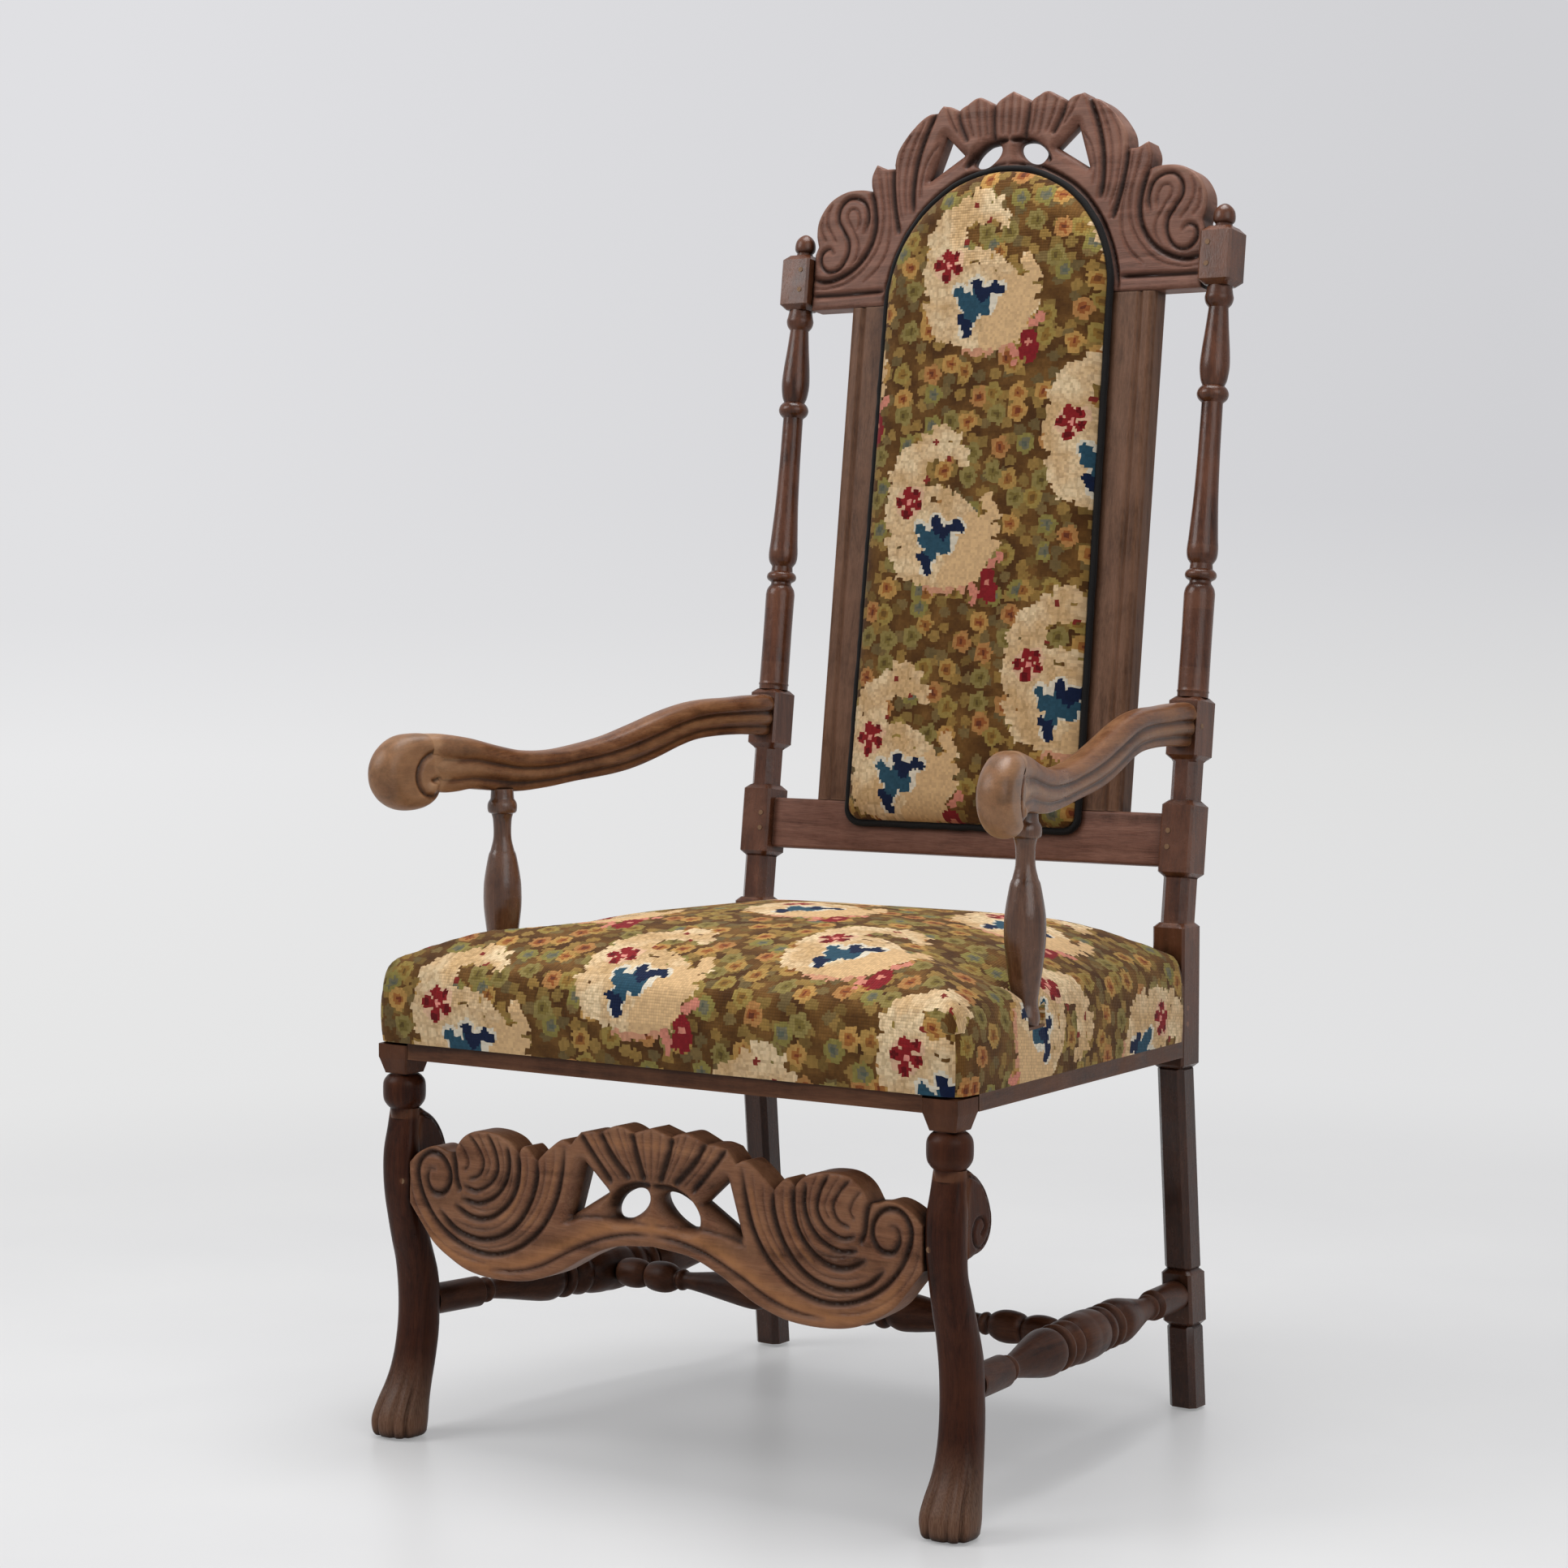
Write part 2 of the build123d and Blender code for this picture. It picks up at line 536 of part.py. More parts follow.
web_z = rail_top
web_t = 1.2
seat_straps = []
for i in range(6):
    yc = leg_back + 45 + i * (post_front - leg_back - 91) / 5
    w = leg_in + 12 - side_run * (yc - leg_back)
    seat_straps.append(slab(-w, w, yc - 24, yc + 24, web_z, web_z + web_t))
for i in range(6):
    xc = (i - 2.5) * 0.343 * post_in
    seat_straps.append(slab(xc - 24, xc + 24, seat_front + 10, post_front + 22, web_z + web_t,
                            web_z + 2 * web_t))
seat_webbing = Part() + seat_straps
hessian_z = web_z + 2 * web_t
stuff_z = hessian_z + 0.8
support_slot = Pos(support_x, support_y, 440) * Cylinder(20, 200)
seat_hessian = plan_cut(polygon(seat_plan(-6)), hessian_z, stuff_z)
seat_stuffing = pad(0, stuff_z, crown_z, 30)
seat_shell = pad(cloth, rail_bottom_rear + 10, crown_z + cloth, 31)
hem = side_cut(polygon([(-400, rail_bottom_front + 16), (400, rail_bottom_front + 1),
                        (400, 600), (-400, 600)]), -400, 400)
seat_cover = (seat_shell & hem) - plan_cut(polygon(seat_plan(0)), 300, stuff_z) - seat_stuffing
for s in (1, -1):
    slot = support_slot if s > 0 else both(support_slot)
    seat_webbing = seat_webbing - slot
    seat_hessian = seat_hessian - slot
    seat_stuffing = seat_stuffing - slot
    seat_cover = seat_cover - slot
bottom_cloth = plan_cut(polygon([(leg_in + 14, leg_back + 4), (post_in + 14, post_front - 4),
                                 (-post_in - 14, post_front - 4), (-leg_in - 14, leg_back + 4)]), 0, 0.8)
cloth_tilt = math.degrees(math.atan(slope))
tilted = Pos(0, leg_back, rail_bottom_front - 0.85) * Rot(-cloth_tilt, 0, 0)
bottom_cloth = tilted * Pos(0, -leg_back, 0) * bottom_cloth

# ---------------------------------------------------------------- pegs
peg_r = 2.5


def peg_bar(p, q):
    d = Vector(*q) - Vector(*p)
    return aim(p, q) * Pos(0, 0, d.length / 2) * Cylinder(peg_r, d.length)


def bored(shape, pegs):
    for p, q in pegs:
        d = Vector(*q) - Vector(*p)
        shape = shape - aim(p, q) * Pos(0, 0, d.length / 2) * Cylinder(peg_r + 0.05, d.length + 0.1)
    return shape


seat_pegs = []
for z in (rail_low + 12, rail_high - 12):
    seat_pegs.append(((leg_in + 8, seat_front + 0.2, z), (leg_in + 8, leg_y + 8, z)))
    seat_pegs.append(((seat_half_front - 0.2, leg_back - 10, z), (leg_x - 3, leg_back - 10, z)))
    seat_pegs.append(((post_out - 0.2, post_front + 9, z), (post_x - 8, post_front + 9, z)))
stretch_pegs = [((leg_in + 7, seat_front + 1.5, brace_z), (leg_in + 7, leg_y + 5, brace_z))]
arm_pegs = [((post_out + 0.2, axis_y(arm_z) - 9, arm_z), (post_x - 10, axis_y(arm_z) - 9, arm_z))]
leg = bored(leg, [p for p in seat_pegs if p[0][1] < 0] + stretch_pegs)
front_rail = bored(front_rail, seat_pegs[0:1] + seat_pegs[3:4])
front_rail = both(bored(both(front_rail), seat_pegs[0:1] + seat_pegs[3:4]))
side_rail = bored(side_rail, seat_pegs[1:3] + seat_pegs[4:6])
post = bored(post, [p for p in seat_pegs if p[0][1] > 0] + arm_pegs)
arm = bored(arm, arm_pegs)
front_stretcher = bored(front_stretcher, stretch_pegs)
front_stretcher = both(bored(both(front_stretcher), stretch_pegs))
back_pegs = []
for z in (arch_z + 20, arch_z + 40, foot_z + 18, foot_z + 33):
    back_pegs.append(((post_in + 9, -half - 0.6, up(z)), (post_in + 9, half - 6, up(z))))
lean_post = bored(lean.inverse() * post, back_pegs)
post = lean * lean_post
crest = both(bored(both(bored(crest, back_pegs[:2])), back_pegs[:2]))
lower_rail = both(bored(both(bored(lower_rail, back_pegs[2:])), back_pegs[2:]))


def pair_group(bars):
    shapes = [peg_bar(p, q) for p, q in bars]
    shapes = shapes + [both(s) for s in shapes]
    return Compound(shapes)


# ---------------------------------------------------------------- nodes
nodes = {
    "front_leg_right": leg,
    "front_leg_left": both(leg),
    "rear_post_right": post,
    "rear_post_left": both(post),
    "front_seat_rail": front_rail,
    "rear_seat_rail": rear_rail,
    "side_seat_rail_right": side_rail,
    "side_seat_rail_left": both(side_rail),
    "corner_block_front_right": front_block,
    "corner_block_front_left": both(front_block),
    "corner_block_rear_right": rear_block,
    "corner_block_rear_left": both(rear_block),
    "front_stretcher": front_stretcher,
    "side_stretcher_right": side_stretcher,
    "side_stretcher_left": both(side_stretcher),
    "medial_stretcher": medial_stretcher,
    "arm_right": arm,
    "arm_left": both(arm),
    "arm_support_right": support,
    "arm_support_left": both(support),
    "crest_rail": lean * crest,
    "lower_back_rail": lean * lower_rail,
    "back_stile_right": lean * stile,
    "back_stile_left": both(lean * stile),
    "back_webbing": lean * back_webbing,
    "back_canvas": lean * back_canvas,
    "back_stuffing": lean * back_stuffing,
    "back_cover": lean * back_cover,
    "back_outside_cover": lean * outside_cover,
    "back_welt": lean * back_welt,
    "seat_webbing": seat_webbing,
    "seat_hessian": seat_hessian,
    "seat_stuffing": seat_stuffing,
    "seat_cover": seat_cover,
    "seat_bottom_cloth": bottom_cloth,
    "seat_frame_pegs": pair_group(seat_pegs),
    "stretcher_pegs": pair_group(stretch_pegs),
    "arm_pegs": pair_group(arm_pegs),
    "back_frame_pegs": lean * pair_group(back_pegs),
}
boxes = [shape.bounding_box() for shape in nodes.values()]
middle = (min(b.min.Y for b in boxes) + max(b.max.Y for b in boxes)) / 2
for name, shape in nodes.items():
    placed = Pos(0, -middle, 0) * shape
    export_step(placed, "parts/" + name + ".step")
    print(name, round(placed.volume), len(placed.solids()))
print("middle", round(middle, 4))
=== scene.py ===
"""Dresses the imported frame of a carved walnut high-back armchair covered in needlework.

Sizes are millimetres of the chair's drawing, whose origin is on the floor between the legs, with +Z up and the
chair's front towards -Y. They become the frame's metres where a mesh is made.
"""

import logging
import math
from collections.abc import Callable, Sequence
from dataclasses import dataclass, field, replace
from enum import Enum

import bmesh
import bpy
import numpy as np
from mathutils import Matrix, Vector
from mathutils.geometry import delaunay_2d_cdt


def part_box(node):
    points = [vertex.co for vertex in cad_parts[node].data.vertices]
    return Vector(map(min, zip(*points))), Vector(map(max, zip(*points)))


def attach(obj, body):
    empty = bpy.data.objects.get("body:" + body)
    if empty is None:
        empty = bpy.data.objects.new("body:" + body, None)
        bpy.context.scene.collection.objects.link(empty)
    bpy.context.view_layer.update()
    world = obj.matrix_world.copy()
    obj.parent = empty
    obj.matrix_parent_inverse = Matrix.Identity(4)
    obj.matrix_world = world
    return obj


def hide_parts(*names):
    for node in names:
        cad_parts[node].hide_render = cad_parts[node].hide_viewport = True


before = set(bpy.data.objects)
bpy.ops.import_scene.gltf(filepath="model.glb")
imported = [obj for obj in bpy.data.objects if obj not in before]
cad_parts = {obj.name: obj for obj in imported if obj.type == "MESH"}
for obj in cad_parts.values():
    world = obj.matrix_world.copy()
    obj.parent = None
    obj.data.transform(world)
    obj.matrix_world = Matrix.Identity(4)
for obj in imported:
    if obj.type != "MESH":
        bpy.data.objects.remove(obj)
log = logging.getLogger("armchair")
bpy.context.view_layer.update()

Points = Sequence[Sequence[float]]
Span = tuple[float, float]
Face = Callable[[np.ndarray, np.ndarray], tuple[np.ndarray, np.ndarray]]
Place = Callable[[np.ndarray, np.ndarray], np.ndarray]
Tree = bpy.types.NodeTree
Socket = bpy.types.NodeSocket
Given = Socket | str | float | Sequence[float]

RAIL_FACE = -291.0
MIDDLE = RAIL_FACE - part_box("front_seat_rail")[0].y * 1000
POST_X, POST_Y = 238.0, 199.0
RAKE_Z, RAKE = 440.0, math.radians(7.15)
BLOCK_FOOT, FOOT_BACK = 322.0, 29.0
RAIL_LOW, RAIL_TOP = 343.0, 400.0
LEG_X, LEG_Y = 290.0, -276.0
PANEL_HALF, PANEL_FOOT = 127.0, 538.0
ARCH_Z, ARCH_R = 1046.0, 122.0
ARM_TOP = 660.0
FRAME_FRONT, FRAME_REAR = 7.0, -15.5
PAD_EDGE = 408.0
SIDES = ((1, "right"), (-1, "left"))


class Grain(Enum):
    """Direction of a piece's grain, as the axis of its Object coordinates that the fibres run along."""

    ACROSS = 0
    DEEP = 1
    UPRIGHT = 2


# ---------------------------------------------------------------- drawing helpers
def hex_colour(code: str) -> tuple[float, float, float, float]:
    """Turns an sRGB hex colour, such as "#5a4038", into the linear one with an alpha of 1 that a shader takes."""
    channels = [int(code[i:i + 2], 16) / 255 for i in (1, 3, 5)]
    return (*(c / 12.92 if c <= 0.04045 else ((c + 0.055) / 1.055) ** 2.4 for c in channels), 1.0)


def smooth_line(points: Points, step: float = 2.0, closed: bool = False) -> np.ndarray:
    """Draws a smooth curve through points.

    Args:
        points: Points in two or three dimensions.
        step: Distance between samples, in millimetres.
        closed: Whether the curve returns to its first point.

    Returns:
        The samples, one a row. A closed curve doesn't repeat its first point.
    """
    p = np.array(points, float)
    padded = np.vstack([p[-1:], p, p[:2]] if closed else [2 * p[:1] - p[1:2], p, 2 * p[-1:] - p[-2:-1]])
    runs = []
    for a, b, c, d in zip(padded, padded[1:], padded[2:], padded[3:]):
        count = max(1, round(float(np.linalg.norm(c - b)) / step))
        t = (np.arange(count) / count)[:, None]
        runs.append(0.5 * (2 * b + (c - a) * t + (2 * a - 5 * b + 4 * c - d) * t**2 + (3 * b - a - 3 * c + d) * t**3))
    return np.vstack(runs if closed else [*runs, p[-1:]])


def trace(segments: Sequence[Points], step: float = 1.5) -> np.ndarray:
    """Joins straight runs, given as two points, and smooth runs, given as more, each from where the last one ends."""
    return np.vstack([smooth_line(run, step)[min(i, 1):] for i, run in enumerate(segments)])


def mirrored(half: np.ndarray) -> np.ndarray:
    """Closes the right half of an outline, which starts and ends at x = 0, by its mirror image."""
    return np.vstack([half, half[1:-1][::-1] * (-1, 1)])


def looped(line: np.ndarray) -> np.ndarray:
    """Repeats a closed line's first point at its end."""
    return np.vstack([line, line[:1]])


def read_off(line: np.ndarray, at: np.ndarray | float, by: int = 1) -> np.ndarray | float:
    """Reads one coordinate of a line in two dimensions where its other one, numbered by, has the given values."""
    return np.interp(at, line[:, by], line[:, 1 - by])


def rolled(gap: np.ndarray, width: float, power: float) -> np.ndarray:
    """Gives how far a rolled edge has risen, from 0 at the edge to 1 past its width."""
    return (1 - (1 - np.clip(gap / width, 0, 1)) ** power) ** (1 / power)


def leaning(x: np.ndarray, depth: np.ndarray, height: np.ndarray) -> np.ndarray:
    """Places points of the leaning back.

    Args:
        x: Distance from the chair's middle.
        depth: Distance ahead of the rear posts' axes, square to them.
        height: Height of the point on the posts' axis plane.

    Returns:
        Points of the drawing, one a row.
    """
    up = (height - RAKE_Z) / math.cos(RAKE)
    y = POST_Y - depth * math.cos(RAKE) + up * math.sin(RAKE)
    z = RAKE_Z + depth * math.sin(RAKE) + up * math.cos(RAKE)
    return np.column_stack(np.broadcast_arrays(x, y, z))


def on_back(points: np.ndarray, depth: np.ndarray) -> np.ndarray:
    """Places points of the leaning back, given as x and height, with their depth."""
    return leaning(points[:, 0], depth, points[:, 1])


def standing(section: np.ndarray, x: float, y: float, z: float) -> np.ndarray:
    """Puts a level section about an upright axis."""
    return np.column_stack([x + section[:, 0], y + section[:, 1], np.full(len(section), z)])


def across(points: np.ndarray, side: int) -> np.ndarray:
    """Puts points of the right half on the side given by 1 or -1."""
    return points * (side, 1, 1)


def nearest(points: np.ndarray, line: np.ndarray, reach: float = 1e9) -> tuple[np.ndarray, np.ndarray]:
    """Measures how far points lie from a line.

    Args:
        points: Points in two dimensions.
        line: The line's points.
        reach: Distance past which a point is left as far away.

    Returns:
        Each point's distance, and how far along the line its nearest place is, from 0 to 1.
    """
    distance, along = np.full(len(points), 1e9), np.zeros(len(points))
    chosen = np.nonzero(((points >= line.min(0) - reach) & (points <= line.max(0) + reach)).all(1))[0]
    p = points[chosen]
    best, place = np.full(len(p), 1e9), np.zeros(len(p))
    runs = np.linalg.norm(np.diff(line, axis=0), axis=1)
    total, passed = max(float(runs.sum()), 1e-9), 0.0
    for a, b, run in zip(line, line[1:], runs):
        d = b - a
        t = np.clip(((p - a) @ d) / max(float(d @ d), 1e-12), 0, 1)
        gap = np.hypot(*(p - a - t[:, None] * d).T)
        nearer = gap < best
        best = np.where(nearer, gap, best)
        place = np.where(nearer, (passed + t * run) / total, place)
        passed += run
    distance[chosen], along[chosen] = best, place
    return distance, along


def within(points: np.ndarray, loops: Sequence[np.ndarray]) -> np.ndarray:
    """Tells which points lie inside an outline and outside its holes.

    Args:
        points: Points in two dimensions.
        loops: The closed outline and its holes.

    Returns:
        True for each point inside.
    """
    inside = np.zeros(len(points), bool)
    for loop in loops:
        for (ax, ay), (bx, by) in zip(loop, np.roll(loop, -1, 0)):
            if ay != by:
                crossing = (ay > points[:, 1]) != (by > points[:, 1])
                inside ^= crossing & (points[:, 0] < (bx - ax) * (points[:, 1] - ay) / (by - ay) + ax)
    return inside


def ring(half: float, chamfer: float | None, count: int = 64) -> np.ndarray:
    """Draws the section of a post: a circle, or a square with cut corners.

    Args:
        half: Radius, or half the square's side.
        chamfer: How much of each corner is cut off, or None for a circle.
        count: Points in the section, a multiple of 16.

    Returns:
        The section's points, anticlockwise from +X.
    """
    if chamfer is None:
        angles = np.arange(count) * 2 * math.pi / count
        return half * np.column_stack([np.cos(angles), np.sin(angles)])
    corner = math.atan2(half - chamfer, half)
    stops = (0.0, corner, math.pi / 2 - corner, math.pi / 2)
    quarter = np.concatenate([np.linspace(a, b, count // 16 * share, endpoint=False)
                              for a, b, share in zip(stops, stops[1:], (1, 2, 1))])
    angles = np.concatenate([quarter + k * math.pi / 2 for k in range(4)])
    c, s = np.abs(np.cos(angles)), np.abs(np.sin(angles))
    radius = np.minimum(half / np.maximum(np.maximum(c, s), 1e-9), (2 * half - chamfer) / (c + s))
    return radius[:, None] * np.column_stack([np.cos(angles), np.sin(angles)])


def bands(rows: int, count: int, closed: bool = True) -> list[list[int]]:
    """Joins rows of count points each by four-sided faces; closed rows return to their first point."""
    return [[i * count + j, i * count + (j + 1) % count, (i + 1) * count + (j + 1) % count, (i + 1) * count + j]
            for i in range(rows - 1) for j in range(count if closed else count - 1)]


def fill(loops: Sequence[np.ndarray], inner: np.ndarray) -> tuple[np.ndarray, list[list[int]]]:
    """Fills an outline with holes with triangles.

    Args:
        loops: The closed outline and its holes.
        inner: Points inside it.

    Returns:
        The points, and the triangles by index into them.
    """
    edges, first = [], 0
    for loop in loops:
        edges += [(first + i, first + (i + 1) % len(loop)) for i in range(len(loop))]
        first += len(loop)
    verts, _, cells, _, _, _ = delaunay_2d_cdt([Vector(p) for p in np.vstack([*loops, inner])], edges, [], 1, 1e-5)
    flat = np.array([v[:] for v in verts])
    good = within(flat[np.array(cells)].mean(1), loops)
    return flat, [list(cell) for cell, kept in zip(cells, good) if kept]


def new_object(name: str, data: bpy.types.ID) -> bpy.types.Object:
    """Adds an object to the scene.

    Args:
        name: The object's name.
        data: Its mesh, camera or light.

    Returns:
        The object.
    """
    obj = bpy.data.objects.new(name, data)
    bpy.context.collection.objects.link(obj)
    return obj


class Shell:
    """Vertices and faces of one piece, gathered part by part in the drawing's millimetres."""

    def __init__(self) -> None:
        """Starts with nothing."""
        self.points: list[np.ndarray] = []
        self.tones: list[np.ndarray] = []
        self.faces: list[list[int]] = []
        self.count = 0

    def add(self, points: np.ndarray, faces: list[list[int]], tones: np.ndarray | float = 0.0) -> int:
        """Adds a part.

        Args:
            points: Its points in the drawing.
            faces: Its faces, by index into points.
            tones: Each point's place in the carving, from -1 in a groove, painted dark as shade, to 1 on a ridge,
                painted pale as wear and highlight.

        Returns:
            The index of the part's first vertex.
        """
        first = self.count
        self.points.append(np.asarray(points, float))
        self.tones.append(np.broadcast_to(tones, (len(points),)))
        self.faces += [[i + first for i in face] for face in faces]
        self.count += len(points)
        return first

    def loft(self, rings: Sequence[np.ndarray], tones: Sequence[float | np.ndarray] | None = None) -> None:
        """Joins rings of as many points each, and closes both ends.

        Args:
            rings: The rings' points in the drawing.
            tones: A tone for each ring, or one for each of its points.
        """
        rows = np.array(rings)
        r, n = rows.shape[:2]
        ends = [[r * n, (j + 1) % n, j] for j in range(n)]
        ends += [[r * n + 1, (r - 1) * n + j, (r - 1) * n + (j + 1) % n] for j in range(n)]
        tone = np.zeros((r, n)) if tones is None else np.array([np.broadcast_to(t, n) for t in tones])
        self.add(np.vstack([rows.reshape(-1, 3), rows[0].mean(0), rows[-1].mean(0)]), bands(r, n) + ends,
                 np.concatenate([tone.ravel(), tone[[0, -1], 0]]))

    def stack(self, rows: Sequence[tuple[float, float, float | None]], place: Callable[[np.ndarray, float], np.ndarray],
              tone: Callable[[float], float]) -> None:
        """Stacks sections into a post, each given by its height and by half width and cut corner as ring() takes them.

        Args:
            rows: The sections.
            place: Puts a section at its height into the drawing.
            tone: Gives a section's tone from its half width.
        """
        self.loft([place(ring(half, cut), z) for z, half, cut in rows], [tone(half) for _, half, _ in rows])

    def turn(self, profile: np.ndarray, start: Sequence[float], end: Sequence[float], count: int = 48) -> None:
        """Turns a profile about the line between two points.

        Args:
            profile: Radius and distance along the line, one pair a row.
            start: Where the line starts.
            end: Where the line ends.
            count: Points in each ring.
        """
        axis = (Vector(end) - Vector(start)).normalized()
        side = axis.orthogonal().normalized()
        angles = np.arange(count) * 2 * math.pi / count
        spokes = np.outer(np.cos(angles), side) + np.outer(np.sin(angles), axis.cross(side))
        radii = profile[:, 0]
        # Hollows of the profile get low tones, painted dark as shade, and beads high ones, painted pale as wear and
        # highlight.
        hollow = np.convolve(np.pad(radii, 3, "edge"), np.ones(7) / 7, "valid") - radii
        self.loft([np.array(start) + np.array(axis) * along + spokes * max(radius, 0.02) for radius, along in profile],
                  np.clip(-hollow * 0.5, -1, 1))

    def relief(self, loops: Sequence[np.ndarray], front: Face, place: Place, pitch: float, offsets: Sequence[float],
               both: bool = False) -> None:
        """Adds a face in relief inside an outline with holes.

        Args:
            loops: The closed outline and its holes.
            front: Gives the relief's depth and tone from points and their distance to the edge.
            place: Puts points of the face, with their depth, into the drawing.
            pitch: Distance between its points.
            offsets: Distances from the edge at which it has extra points.
            both: Whether it has a mirror image at the back.
        """
        rim = np.vstack(loops)

        def gap(p: np.ndarray) -> np.ndarray:
            """Gives each point's distance to the edge."""
            return np.min([nearest(p, looped(loop))[0] for loop in loops], axis=0)

        low, high = rim.min(0), rim.max(0)
        across_x, up = np.arange(low[0], high[0], pitch), np.arange(low[1], high[1], pitch * 0.87)
        grid = np.array([(x + (k % 2) * pitch / 2, y) for k, y in enumerate(up) for x in across_x])
        grid = grid[within(grid, loops)]
        inner = [grid[gap(grid) > offsets[-1] + 0.6 * pitch]]
        for loop in loops:
            ahead, behind = np.roll(loop, -1, 0) - loop, loop - np.roll(loop, 1, 0)
            along = ahead / np.linalg.norm(ahead, axis=1)[:, None] + behind / np.linalg.norm(behind, axis=1)[:, None]
            along /= np.maximum(np.linalg.norm(along, axis=1), 1e-9)[:, None]
            normal = np.column_stack([-along[:, 1], along[:, 0]])
            for d in offsets:
                for way in (d, -d):
                    moved = loop + normal * way
                    moved = moved[within(moved, loops)]
                    inner.append(moved[np.abs(gap(moved) - d) < 0.12 * d])
        flat, tris = fill(loops, np.vstack(inner))
        depth, tone = front(flat, gap(flat))
        self.add(place(flat, depth), tris, tone)
        if both:
            self.add(place(flat, -depth), [t[::-1] for t in tris], tone)

    def plate(self, loops: Sequence[np.ndarray], front: Face, place: Place, back: float | None, pitch: float,
              offsets: Sequence[float] = (0.25, 0.8, 1.7, 3.0), spread: Sequence[float] = ()) -> None:
        """Makes a carved plate from an outline with holes, with its front or both faces in relief.

        Args:
            loops: The closed outline and its holes.
            front: Gives the relief's depth and tone from points and their distance to the edge.
            place: Puts points of the plate, with their depth, into the drawing.
            back: Depth of a flat back, or None where the back mirrors the front.
            pitch: Distance between points of the relief.
            offsets: Distances from the edge at which it has extra points.
            spread: How many times wider each hole is cut at the back, for the outline and the holes in order.
        """
        self.relief(loops, front, place, pitch, offsets, back is None)
        wide = [loop.mean(0) + (loop - loop.mean(0)) * k for loop, k in zip(loops, spread or [1.0] * len(loops))]
        if back is not None:
            flat, tris = fill(wide, np.empty((0, 2)))
            self.add(place(flat, np.full(len(flat), back)), [t[::-1] for t in tris])
        for loop, rear in zip(loops, wide):
            top, tone = front(loop, np.zeros(len(loop)))
            bottom = -top if back is None else np.full(len(loop), back)
            rows = [place(loop, top), place(loop, top + (bottom - top) * 0.3), place(rear, bottom)]
            self.add(np.vstack(rows), bands(3, len(loop)), np.tile(tone, 3))

    def finish(self, name: str, sharp: float = 38.0) -> bpy.types.Object:
        """Makes the Blender object, with closed seams and faces that point outwards.

        Args:
            name: The piece's name.
            sharp: Angle in degrees past which an edge isn't smoothed.

        Returns:
            The object, with its place in its mesh and the tones as its "relief" attribute.
        """
        mesh = bpy.data.meshes.new(name)
        mesh.from_pydata(((np.vstack(self.points) - (0.0, MIDDLE, 0.0)) * 0.001).tolist(), [], self.faces)
        mesh.attributes.new("relief", "FLOAT", "POINT").data.foreach_set("value", np.concatenate(self.tones))
        bm = bmesh.new()
        bm.from_mesh(mesh)
        bmesh.ops.remove_doubles(bm, verts=bm.verts, dist=2e-6)
        bmesh.ops.dissolve_degenerate(bm, edges=bm.edges, dist=1e-6)
        bmesh.ops.recalc_face_normals(bm, faces=bm.faces)
        bm.to_mesh(mesh)
        bm.free()
        mesh.shade_smooth()
        mesh.set_sharp_from_angle(angle=math.radians(sharp))
        return new_object(name, mesh)


@dataclass(frozen=True)
class Cut:
    """One V-shaped cut of the carver's tool between two leaf blades, which runs out at both ends."""

    line: Points
    half: float = 5.6
    deep: float = 4.2

    def depth(self, points: np.ndarray) -> np.ndarray:
        """Works out how deep the cut is.

        Args:
            points: Points of the face.

        Returns:
            The depth at each point, 0 beside the cut.
        """
        distance, along = nearest(points, smooth_line(self.line, 3.0), self.half)
        runout = np.sqrt(np.clip(np.minimum(along, 1 - along) * 10, 0.0, 1.0))
        return self.deep * runout * np.clip(1 - distance / self.half, 0, 1) ** 1.6


def vein(*line: tuple[float, float]) -> Cut:
    """Draws a thin shallow cut along the middle of a blade."""
    return Cut(line, 3.0, 1.35)


